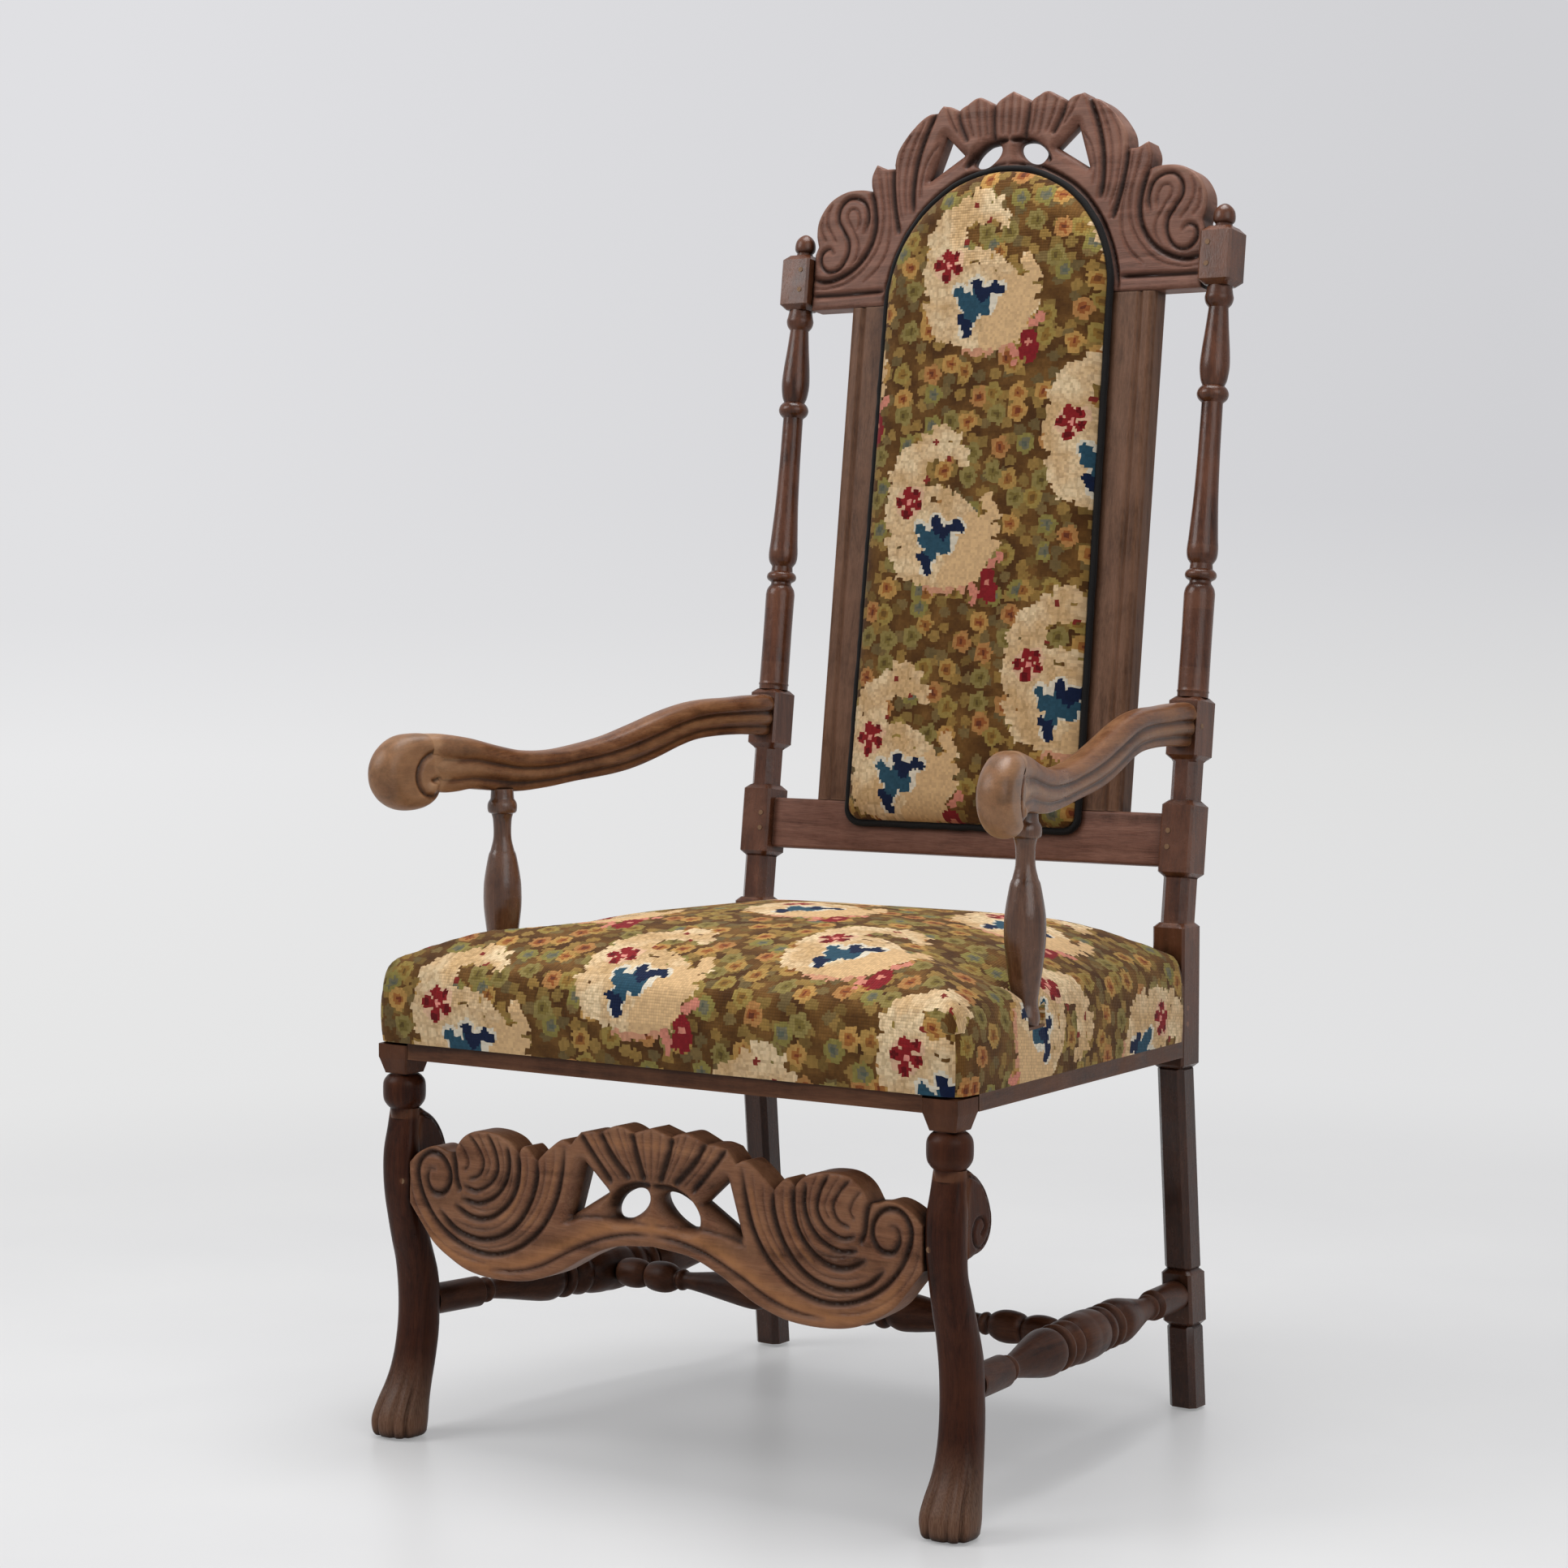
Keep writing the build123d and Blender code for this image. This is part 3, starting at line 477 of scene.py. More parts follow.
@dataclass(frozen=True)
class Carving:
    """A carved plate, the same on both sides of x = 0, with a triangle and an oval pierced through each half.

    The oval is given by its middle, half its length and width, and the tilt of its length in degrees. The face rolls
    down to its edge over the roll's width and is dished by the sink at a piercing. Spread says how many times wider
    the triangle and the oval are cut at the back.
    """

    front: float
    back: float
    roll: float
    sink: float
    triangle: Points
    oval: tuple[float, float, float, float, float]
    spread: Span
    cuts: tuple[Cut, ...]
    # Bands along ridges whose tone is raised, painting them pale as wear and highlight.
    wear_and_highlight: tuple[Cut, ...]
    dish: float = 10.0
    deepest: float = 14.0

    def loops(self, half: np.ndarray) -> list[np.ndarray]:
        """Draws the plate's outline and its four piercings.

        Args:
            half: The right half of the outline.

        Returns:
            The closed outline and the holes.
        """
        corners = (*self.triangle, self.triangle[0])
        gap = np.vstack([smooth_line(ends, 1.6)[:-1] for ends in zip(corners, corners[1:])])
        x, z, long, short, tilt = self.oval
        turn = np.radians(np.arange(0, 360, 10))
        a, b = long * np.cos(turn), short * np.sin(turn)
        loops = [mirrored(half)]
        for side in (1, -1):
            c, s = math.cos(math.radians(side * tilt)), math.sin(math.radians(side * tilt))
            loops += [gap * (side, 1), np.column_stack([side * x + a * c - b * s, z + a * s + b * c])]
        return loops

    def shell(self, half: np.ndarray, place: Place) -> Shell:
        """Carves the plate.

        Args:
            half: The right half of its outline.
            place: Puts points of the plate, with their depth, into the drawing.

        Returns:
            The carved shell.
        """
        loops = self.loops(half)

        def face(points: np.ndarray, gap: np.ndarray) -> tuple[np.ndarray, np.ndarray]:
            """Carves the face.

            Args:
                points: Points of the face.
                gap: Their distances to the edge.

            Returns:
                The face's depth and tone at each point.
            """
            right = np.column_stack([np.abs(points[:, 0]), points[:, 1]])
            cut, highlit_wear = (np.max([c.depth(right) for c in cuts], axis=0) for cuts in (self.cuts, self.wear_and_highlight))
            near = np.min([nearest(points, looped(hole), self.dish)[0] for hole in loops[1:]], axis=0)
            dish = self.sink * np.clip(1 - near / self.dish, 0, 1) ** 1.5
            down = cut + 0.8 * self.roll * (1 - rolled(gap, self.roll, 2)) + dish
            # Cuts and dished piercings lower the tone, painting them dark as shade; the pale bands raise it, painting
            # them as wear and highlight.
            return self.front - np.minimum(down, self.deepest), np.clip(0.18 + highlit_wear - cut / 2.2 - 0.1 * dish, -1, 1)

        shell = Shell()
        shell.plate(loops, face, place, self.back, 1.3, spread=(1.0, *self.spread, *self.spread))
        return shell


# ---------------------------------------------------------------- finishes
def add_node(tree: Tree, kind: str, settings: dict | None = None, links: dict | None = None) -> bpy.types.Node:
    """Adds a node with its settings and links.

    Args:
        tree: The tree that gets the node.
        kind: The node's type name.
        settings: Its properties by name; "stops" are a colour ramp's places and hex colours.
        links: What each input gets, by name or index: another node's socket, a hex colour, or a value.

    Returns:
        The node.
    """
    node = tree.nodes.new(kind)
    for key, value in (settings or {}).items():
        if key == "stops":
            ramp = node.color_ramp
            while len(ramp.elements) < len(value):
                ramp.elements.new(0.5)
            for element, (place, code) in zip(ramp.elements, value):
                element.position, element.color = place, hex_colour(code)
        else:
            setattr(node, key, value)
    for key, value in (links or {}).items():
        if isinstance(value, Socket):
            tree.links.new(value, node.inputs[key])
        else:
            node.inputs[key].default_value = hex_colour(value) if isinstance(value, str) else value
    return node


def number(tree: Tree, operation: str, *values: Given) -> Socket:
    """Adds a Math node and gives its result."""
    return add_node(tree, "ShaderNodeMath", {"operation": operation}, dict(enumerate(values))).outputs[0]


def vector(tree: Tree, operation: str, *values: Given, **named: Given) -> Socket:
    """Adds a Vector Math node and gives its result, a number where the operation makes one."""
    node = add_node(tree, "ShaderNodeVectorMath", {"operation": operation}, dict(enumerate(values)) | named)
    return node.outputs[1 if operation in ("LENGTH", "DISTANCE", "DOT_PRODUCT") else 0]


def parts(tree: Tree, whole: Socket) -> bpy.types.NodeOutputs:
    """Adds a node that takes a vector apart, and gives its x, y and z."""
    return add_node(tree, "ShaderNodeSeparateXYZ", {}, {0: whole}).outputs


def mixed(tree: Tree, part: Given, first: Given, second: Given, blend: str = "MIX") -> Socket:
    """Adds a Mix node for two colours and gives its result."""
    return add_node(tree, "ShaderNodeMix", {"data_type": "RGBA", "blend_type": blend},
                    {0: part, 6: first, 7: second}).outputs[2]


def mapped(tree: Tree, value: Given, source: Span, target: Span = (0.0, 1.0), kind: str = "LINEAR") -> Socket:
    """Adds a Map Range node from one range to another and gives its result."""
    ends = dict(zip(("From Min", "From Max", "To Min", "To Max"), (*source, *target)))
    return add_node(tree, "ShaderNodeMapRange", {"interpolation_type": kind}, {"Value": value} | ends).outputs[0]


def ramped(tree: Tree, factor: Given, *stops: tuple[float, str]) -> Socket:
    """Adds a colour ramp and gives its colour."""
    return add_node(tree, "ShaderNodeValToRGB", {"stops": stops}, {"Fac": factor}).outputs[0]


def noise(tree: Tree, place: Given, scale: float, detail: float, flat: bool = False,
          **named: float) -> bpy.types.NodeOutputs:
    """Adds a noise texture and gives its outputs, a value and a colour."""
    return add_node(tree, "ShaderNodeTexNoise", {"noise_dimensions": "2D" if flat else "3D"},
                    {"Vector": place, "Scale": scale, "Detail": detail} | named).outputs


def occluded(tree: Tree, reach: float, samples: int, inside: bool = False) -> Socket:
    """Adds an Ambient Occlusion node and gives how open the surface is."""
    node = add_node(tree, "ShaderNodeAmbientOcclusion", {"samples": samples, "inside": inside}, {"Distance": reach})
    return node.outputs["AO"]


def bumped(tree: Tree, height: Given, strength: float, distance: float, **named: Given) -> Socket:
    """Adds a Bump node and gives its normal."""
    given = {"Strength": strength, "Distance": distance, "Height": height} | named
    return add_node(tree, "ShaderNodeBump", {}, given).outputs[0]


def surface(tree: Tree, colour: Given, **sockets: Given) -> None:
    """Ends a finish with its shader and the material's output.

    Args:
        tree: The material's tree.
        colour: The base colour.
        **sockets: The shader's other inputs, with _ for each space in a name.
    """
    named = {name.replace("_", " "): value for name, value in sockets.items()}
    shader = add_node(tree, "ShaderNodeBsdfPrincipled", {}, {"Base Color": colour, "IOR": 1.5} | named)
    add_node(tree, "ShaderNodeOutputMaterial", {}, {"Surface": shader.outputs[0]})


def new_material(name: str) -> tuple[bpy.types.Material, Tree]:
    """Starts a material with an empty node tree.

    Args:
        name: The material's name.

    Returns:
        The material and its tree.
    """
    material = bpy.data.materials.new(name)
    material.use_nodes = True
    material.node_tree.nodes.clear()
    return material, material.node_tree


def dress(obj: bpy.types.Object, material: bpy.types.Material) -> None:
    """Gives every face of an object one material."""
    obj.data.materials.clear()
    obj.data.materials.append(material)


@dataclass(frozen=True)
class WaxedWalnut:
    """Walnut sawn, carved and turned by hand, stained and waxed for centuries.

    The wax gives a soft broken shine; grooves and crevices are painted near-black as shade, and edges and ridges paler,
    as wear and as painted highlight.
    """

    name: str
    deep: str
    body: str
    pale: str
    # The paler brown painted on edges and ridges, as wear and as highlight.
    highlit_wear: str
    grain: Grain
    rough: float = 0.4
    # How dark the painted shade in crevices gets.
    crevice_shade: float = 0.85
    gloss: float = 0.14
    low: tuple[str, float, float] | None = None
    # The near-black painted as shade in grooves and crevices.
    black: str = "#120906"
    fibre: float = 0.07
    arris: float = 0.004
    crevice: float = 0.016

    def material(self) -> bpy.types.Material:
        """Builds the finish.

        Returns:
            The material.
        """
        material, tree = new_material(self.name)
        place = add_node(tree, "ShaderNodeTexCoord").outputs["Object"]
        # Fibres run along the grain, so patterns are drawn out along it: pores 0.9 mm wide, figure about 14 mm.
        stretch = [1.0, 1.0, 1.0]
        stretch[self.grain.value] = self.fibre
        along = add_node(tree, "ShaderNodeMapping", {}, {"Vector": place, "Scale": stretch}).outputs[0]
        figure = noise(tree, along, 75.0, 7.0, Roughness=0.66, Distortion=0.7)[0]
        pores = noise(tree, along, 1000.0, 2.0)[0]
        patina = noise(tree, place, 22.0, 6.0, Roughness=0.68)[0]
        wood = ramped(tree, figure, (0.3, self.deep), (0.5, self.body), (0.72, self.pale))
        streak = mapped(tree, pores, (0.36, 0.6), (0.55, 1.0))
        wood = mixed(tree, 0.6, wood, streak, "MULTIPLY")
        wood = mixed(tree, mapped(tree, patina, (0.4, 0.68), (0.0, 0.55)), wood, self.pale)
        if self.low:
            tone, full, none = self.low
            foot = mapped(tree, parts(tree, place)[2], (full, none), (0.8, 0.0), "SMOOTHSTEP")
            wood = mixed(tree, number(tree, "MULTIPLY", foot, streak), wood, tone)
        relief = add_node(tree, "ShaderNodeAttribute", {"attribute_name": "relief"}).outputs["Fac"]
        # Edges that inside ambient occlusion finds, and raised tones of the carving, are painted paler, partly as wear
        # and partly as highlight.
        edges = mapped(tree, occluded(tree, self.arris, 6, True), (0.25, 0.75), (0.9, 0.0))
        wear_and_highlight = number(tree, "MAXIMUM", edges, mapped(tree, relief, (0.05, 1.0), (0.0, 0.8)))
        wood = mixed(tree, number(tree, "MULTIPLY", wear_and_highlight, patina), wood, self.highlit_wear)
        # Grooves of the carving and crevices that ambient occlusion finds are painted near-black as shade.
        painted_groove_shade = mapped(tree, relief, (0.0, -1.0), (0.0, 0.85))
        painted_crevice_shade = mapped(tree, occluded(tree, self.crevice, 8), (0.3, 0.85), (self.crevice_shade, 0.0))
        wood = mixed(tree, number(tree, "MAXIMUM", painted_crevice_shade, painted_groove_shade), wood, self.black)
        normal = bumped(tree, patina, 0.35, 0.0015, Normal=bumped(tree, pores, 0.25, 0.0006))
        surface(tree, wood, Roughness=mapped(tree, patina, (0.3, 0.7), (self.rough - 0.08, self.rough + 0.12)),
                Specular_IOR_Level=self.gloss, Normal=normal)
        return material


@dataclass(frozen=True)
class PlainWeave:
    """Coarse linen or cotton in plain weave, matt, its crossing threads 1.2 mm apart."""

    name: str
    thread: str
    shade: str
    rough: float = 0.9
    pitch: float = 1.2

    def material(self) -> bpy.types.Material:
        """Builds the finish.

        Returns:
            The material.
        """
        material, tree = new_material(self.name)
        place = add_node(tree, "ShaderNodeTexCoord").outputs["Object"]
        waves = [add_node(tree, "ShaderNodeTexWave", {"bands_direction": way},
                          {"Vector": place, "Scale": 314.0 / self.pitch, "Distortion": 1.5}).outputs[1] for way in "XZ"]
        weave = number(tree, "MULTIPLY", *waves)
        uneven = number(tree, "MULTIPLY_ADD", weave, 0.5, noise(tree, place, 55.0, 5.0)[0])
        surface(tree, ramped(tree, uneven, (0.35, self.shade), (0.85, self.thread)), Roughness=self.rough,
                Specular_IOR_Level=0.2, Normal=bumped(tree, weave, 0.4, 0.0004), Sheen_Weight=0.05, Sheen_Roughness=0.5)
        return material


@dataclass(frozen=True)
class Motif:
    """A shape in one wool: overlapping discs, each an x, a y and a radius, that may stop at the cream's edge."""

    ink: str
    discs: Points
    on_cream: bool = False

    def depth(self, tree: Tree, local: Socket) -> Socket:
        """Adds nodes that measure how far a point lies outside the discs.

        Args:
            tree: The tree that gets them.
            local: The point, in the repeat's own coordinates.

        Returns:
            The distance, below 0 inside.
        """
        shape = None
        for x, y, radius in self.discs:
            gap = number(tree, "SUBTRACT", vector(tree, "DISTANCE", local, (x, y, 0.0)), radius)
            shape = gap if shape is None else number(tree, "MINIMUM", gap, shape)
        return shape


@dataclass(frozen=True)
class Sprig:
    """Small shapes strewn over the ground, in rings of wool from the rim inwards, each of six colours by chance."""

    size: float
    petals: float
    part: float
    rings: tuple[tuple[float, str], ...]
    share: float = 1.0


@dataclass(frozen=True)
class Needlework:
    """Wool worked in tent stitch on canvas, a repeat of cream blooms on brown with small flowers.

    Wool is quite matt with a faint bloom at the edge; each stitch is its own speck of colour, drawn 2.6 mm
    wide so that it shows. Coordinates are millimetres from the middle of a red flower.
    """

    name: str = "needlework_wool"
    stitch: float = 2.6
    wander: float = 2.2
    step_down: tuple[float, float] = (-27.0, -230.0)
    step_side: tuple[float, float] = (174.0, 74.0)
    offset: tuple[float, float] = (0.14, 0.22)
    # Leaves about 14 mm across lie under rosettes about 24 mm across, each with five round petals and a rusty eye.
    sprigs: tuple[Sprig, ...] = (
        Sprig(16.5, 2.0, 0.42, ((0.42 * 0.86, "#6e552a #7f6534 #735e38 #8d6e38 #665433 #8f713c"),)),
        Sprig(27.0, 5.0, 0.44, ((0.44 * 0.86, "#a58246 #937c40 #b0874a #867643 #a87845 #84783f"),
                                (0.2, "#8e5d2c #85642d #98602f #71612f #8c5029 #6b6650"),
                                (0.08, "#6a3e1e #684b22 #74381e #574622 #62321e #565a4c")), 0.82))
    scallop: float = 10.0
    cream: Motif = Motif("#8e7044", (
        (16, 60, 8), (28, 66, 8.5), (40, 65, 8.5), (50, 58, 8), (57, 48, 8), (61, 40, 5.5), (20, 50, 13), (34, 52, 13),
        (46, 50, 10), (6, 52, 9), (-5, 46, 9.5), (-11, 38, 9), (-17, 26, 9), (-16, 13, 9), (-19, 1, 9), (-19, -10, 9),
        (-16, -21, 9), (-13, -31, 8), (-16, -40, 9), (-12, -50, 9), (-5, -58, 9), (-2, -66, 8), (8, -67, 8),
        (17, -71, 9),
        (27, -77, 9), (39, -81, 10), (53, -81, 10), (66, -76, 11), (76, -69, 11), (83, -61, 11), (89, -52, 10),
        (95, -42, 10), (97, -29, 9), (96, -15, 8.5), (93, -5, 7), (89, 4, 5.5), (31, 9, 7.5), (42, 6, 8), (53, 0, 8),
        (64, -8, 8), (72, -14, 8), (80, -22, 9), (2, 30, 17), (6, 40, 14), (4, 4, 22), (8, -22, 26), (30, -30, 33),
        (56, -44, 36), (70, -42, 28), (18, -52, 22), (42, -58, 26)))
    motifs: tuple[Motif, ...] = (
        Motif("#d0ac7e", ((84, -32, 24), (90, -8, 14), (92, 2, 8), (72, -60, 24), (62, -46, 20), (54, -74, 15),
                          (76, -28, 18)), True),
        Motif("#c68f70", ((40, -94, 12), (54, -95, 12), (70, -90, 10), (28, -88, 7)), True),
        Motif("#7c2a22", ((27, 58, 3.4), (19, 22, 2.8), (44, 42, 2.6))),
        # A red flower with its halo.
        Motif("#d4ac8c", ((0, 0, 15.5), (9, 6, 9)), True),
        Motif("#841a1e", ((-2.7, 10.4, 5.5), (7.6, 8.0, 5.2), (10.8, -3, 5.3), (-1.5, -10.8, 5.8), (-10.8, 0.7, 5.6),
                          (0, 0, 6.2))),
        Motif("#5e0c10", ((-11.5, 0.7, 3.2), (-2, -12, 3.6), (12, -2.5, 3.2), (8.5, 10.5, 3))),
        Motif("#d88a7c", ((0.5, 0, 3.0),)),
        # A blue leaf with its pale rim.
        Motif("#d6ccb8", ((24, -34, 12), (34, -38, 15), (45, -38, 14), (34, -19, 9), (38, -26, 9), (50, -26, 9),
                          (61, -24, 8), (15, -24, 8), (26, -54, 10), (25, -64, 8)), True),
        Motif("#27495a", ((22, -36, 8.5), (32, -40, 11.5), (42, -38, 10), (45, -46, 6), (15, -26, 5.5), (28, -51, 8),
                          (36, -29, 7))),
        Motif("#0e1b38", ((34, -19, 5.5), (37, -26, 5.5), (47, -27, 6), (56, -23, 6), (63, -26, 4.5), (43, -33, 5),
                          (18, -53, 5), (25, -59, 6.5), (27, -67, 5))),
        # A red bud beside the bloom.
        Motif("#7e1a20", ((96, -74, 9), (98, -84, 10), (100, -94, 6), (90, -90, 5))),
        Motif("#c9806c", ((100, -60, 5), (108, -54, 5), (82, -88, 5), (78, -82, 4), (82, -97, 3.5), (96, -78, 3.5))))

    def repeat(self, tree: Tree, spot: Socket) -> Socket:
        """Adds nodes that carry a stitch back to the first bloom of the repeat.

        Args:
            tree: The tree that gets them.
            spot: The stitch on the cloth.

        Returns:
            Its place in the repeat's own coordinates.
        """
        (ax, ay), (bx, by) = self.step_down, self.step_side
        det = ax * by - ay * bx
        local = spot
        for step, unit, shift in ((self.step_down, (by / det, -bx / det, 0.0), self.offset[0]),
                                  (self.step_side, (-ay / det, ax / det, 0.0), self.offset[1])):
            share = number(tree, "SUBTRACT", vector(tree, "DOT_PRODUCT", spot, unit), shift)
            move = vector(tree, "SCALE", (*step, 0.0), Scale=number(tree, "ROUND", share))
            local = vector(tree, "SUBTRACT", local, move)
        return local

    def strew(self, tree: Tree, sprig: Sprig, spot: Socket, ground: Given) -> Given:
        """Adds nodes that strew one kind of sprig over the ground.

        Args:
            tree: The tree that gets them.
            sprig: The sprig.
            spot: The stitch on the cloth.
            ground: The colour under the sprigs.

        Returns:
            The colour with them.
        """
        cells = add_node(tree, "ShaderNodeTexVoronoi", {"voronoi_dimensions": "2D"},
                         {"Vector": spot, "Scale": 1 / sprig.size, "Randomness": 0.85}).outputs
        spoke = parts(tree, vector(tree, "SUBTRACT", spot, cells["Position"]))
        turn = number(tree, "MULTIPLY", number(tree, "ARCTAN2", spoke[1], spoke[0]), sprig.petals)
        kind = add_node(tree, "ShaderNodeSeparateColor", {}, {0: cells["Color"]}).outputs
        reach = number(tree, "MULTIPLY_ADD", number(tree, "COSINE", turn), -0.06 * sprig.part, cells["Distance"])
        for rim, inks in sprig.rings:
            stops = [(i / 6, code) for i, code in enumerate(inks.split())]
            ink = add_node(tree, "ShaderNodeValToRGB", {"stops": stops}, {"Fac": kind[0]})
            ink.color_ramp.interpolation = "CONSTANT"
            inside = number(tree, "LESS_THAN", reach, rim)
            if sprig.share < 1:
                inside = number(tree, "MULTIPLY", inside, number(tree, "LESS_THAN", kind[1], sprig.share))
            ground = mixed(tree, inside, ground, ink.outputs[0])
        return ground

    def material(self) -> bpy.types.Material:
        """Builds the finish on the cloth's own UV map.

        Returns:
            The material.
        """
        material, tree = new_material(self.name)
        cloth = add_node(tree, "ShaderNodeUVMap", {"uv_map": "cloth"}).outputs[0]
        size = vector(tree, "SCALE", cloth, Scale=1000.0)
        grid = (self.stitch, self.stitch, 1.0)
        # The worker's hand wanders by a stitch or so, so the counted pattern is pushed about before it is stepped.
        push = (2 * self.wander, 2 * self.wander, 0.0)
        pushed = vector(tree, "MULTIPLY_ADD", noise(tree, size, 0.09, 1.0, True)[1], push, size)
        spot = vector(tree, "SNAP", vector(tree, "SUBTRACT", pushed, (self.wander, self.wander, 0.0)), grid)
        cell = vector(tree, "SNAP", size, grid)
        local = self.repeat(tree, spot)
        drift = noise(tree, spot, 0.03, 3.0, True)[0]
        colour = ramped(tree, drift, (0.3, "#482c10"), (0.5, "#5b3c19"), (0.7, "#714f26"))
        for sprig in self.sprigs:
            colour = self.strew(tree, sprig, spot, colour)
        # The cream lobes are scalloped 10 mm wide, with a thin olive line between one scallop and the next.
        creamy = ramped(tree, drift, (0.36, "#c9a678"), (0.5, "#d6b68c"), (0.64, "#e2c8a0"))
        lobes, seams = (add_node(tree, "ShaderNodeTexVoronoi", {"voronoi_dimensions": "2D", "feature": feature},
                                 {"Vector": local, "Scale": 1 / self.scallop, "Randomness": 0.8}).outputs["Distance"]
                        for feature in ("F1", "DISTANCE_TO_EDGE"))
        seam = number(tree, "MULTIPLY", number(tree, "LESS_THAN", seams, 0.11), 0.3)
        edge = number(tree, "MULTIPLY_ADD", lobes, 8.5, -3.6)
        lobed = number(tree, "ADD", self.cream.depth(tree, local), edge)
        cream = number(tree, "LESS_THAN", lobed, 0.0)
        colour = mixed(tree, cream, colour, mixed(tree, seam, creamy, self.cream.ink))
        for motif in self.motifs:
            mask = number(tree, "LESS_THAN", motif.depth(tree, local), 0.0)
            if motif.on_cream:
                mask = number(tree, "MULTIPLY", mask, cream)
            colour = mixed(tree, mask, colour, motif.ink)
        # Each stitch has its own shade of wool and swells in its middle, and is painted darker round its rim as shade
        # between stitches.
        grey = add_node(tree, "ShaderNodeTexWhiteNoise", {"noise_dimensions": "2D"}, {"Vector": cell}).outputs[0]
        colour = vector(tree, "SCALE", colour, Scale=mapped(tree, grey, (0.0, 1.0), (0.86, 1.12)))
        middle = vector(tree, "DISTANCE", vector(tree, "MODULO", size, grid), (self.stitch / 2, self.stitch / 2, 0.0))
        swell = mapped(tree, middle, (0.6, 1.8), (1.0, 0.0))
        colour = vector(tree, "SCALE", colour, Scale=mapped(tree, swell, (0.0, 1.0), (0.8, 1.0)))
        surface(tree, colour, Roughness=0.92, Specular_IOR_Level=0.12, Normal=bumped(tree, swell, 0.45, 0.0007),
                Sheen_Weight=0.06, Sheen_Roughness=0.5)
        return material


# ---------------------------------------------------------------- what every sub-assembly does
@dataclass
class SubAssembly:
    """Pieces of the chair that are made and dressed together."""

    made: list[str] = field(default_factory=list, init=False)

    def fit(self, obj: bpy.types.Object, material: bpy.types.Material, *nodes: str,
            slot: str = "stained_walnut") -> None:
        """Dresses a piece and puts it in the place of CAD nodes.

        Args:
            obj: The piece.
            material: Its finish.
            *nodes: The nodes that it replaces.
            slot: Not used.
        """
        dress(obj, material)
        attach(obj, "root")
        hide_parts(*nodes)
        obj.data.calc_loop_triangles()
        log.info("%s: %d triangles", obj.name, len(obj.data.loop_triangles))
        self.made.append(obj.name)

    def keep(self, material: bpy.types.Material, *nodes: str) -> None:
        """Gives CAD nodes that stay a finish.

        Args:
            material: The finish.
            *nodes: The nodes.
        """
        for name in nodes:
            dress(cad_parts[name], material)
            log.info("%s: kept from the frame", name)
            self.made.append(name)


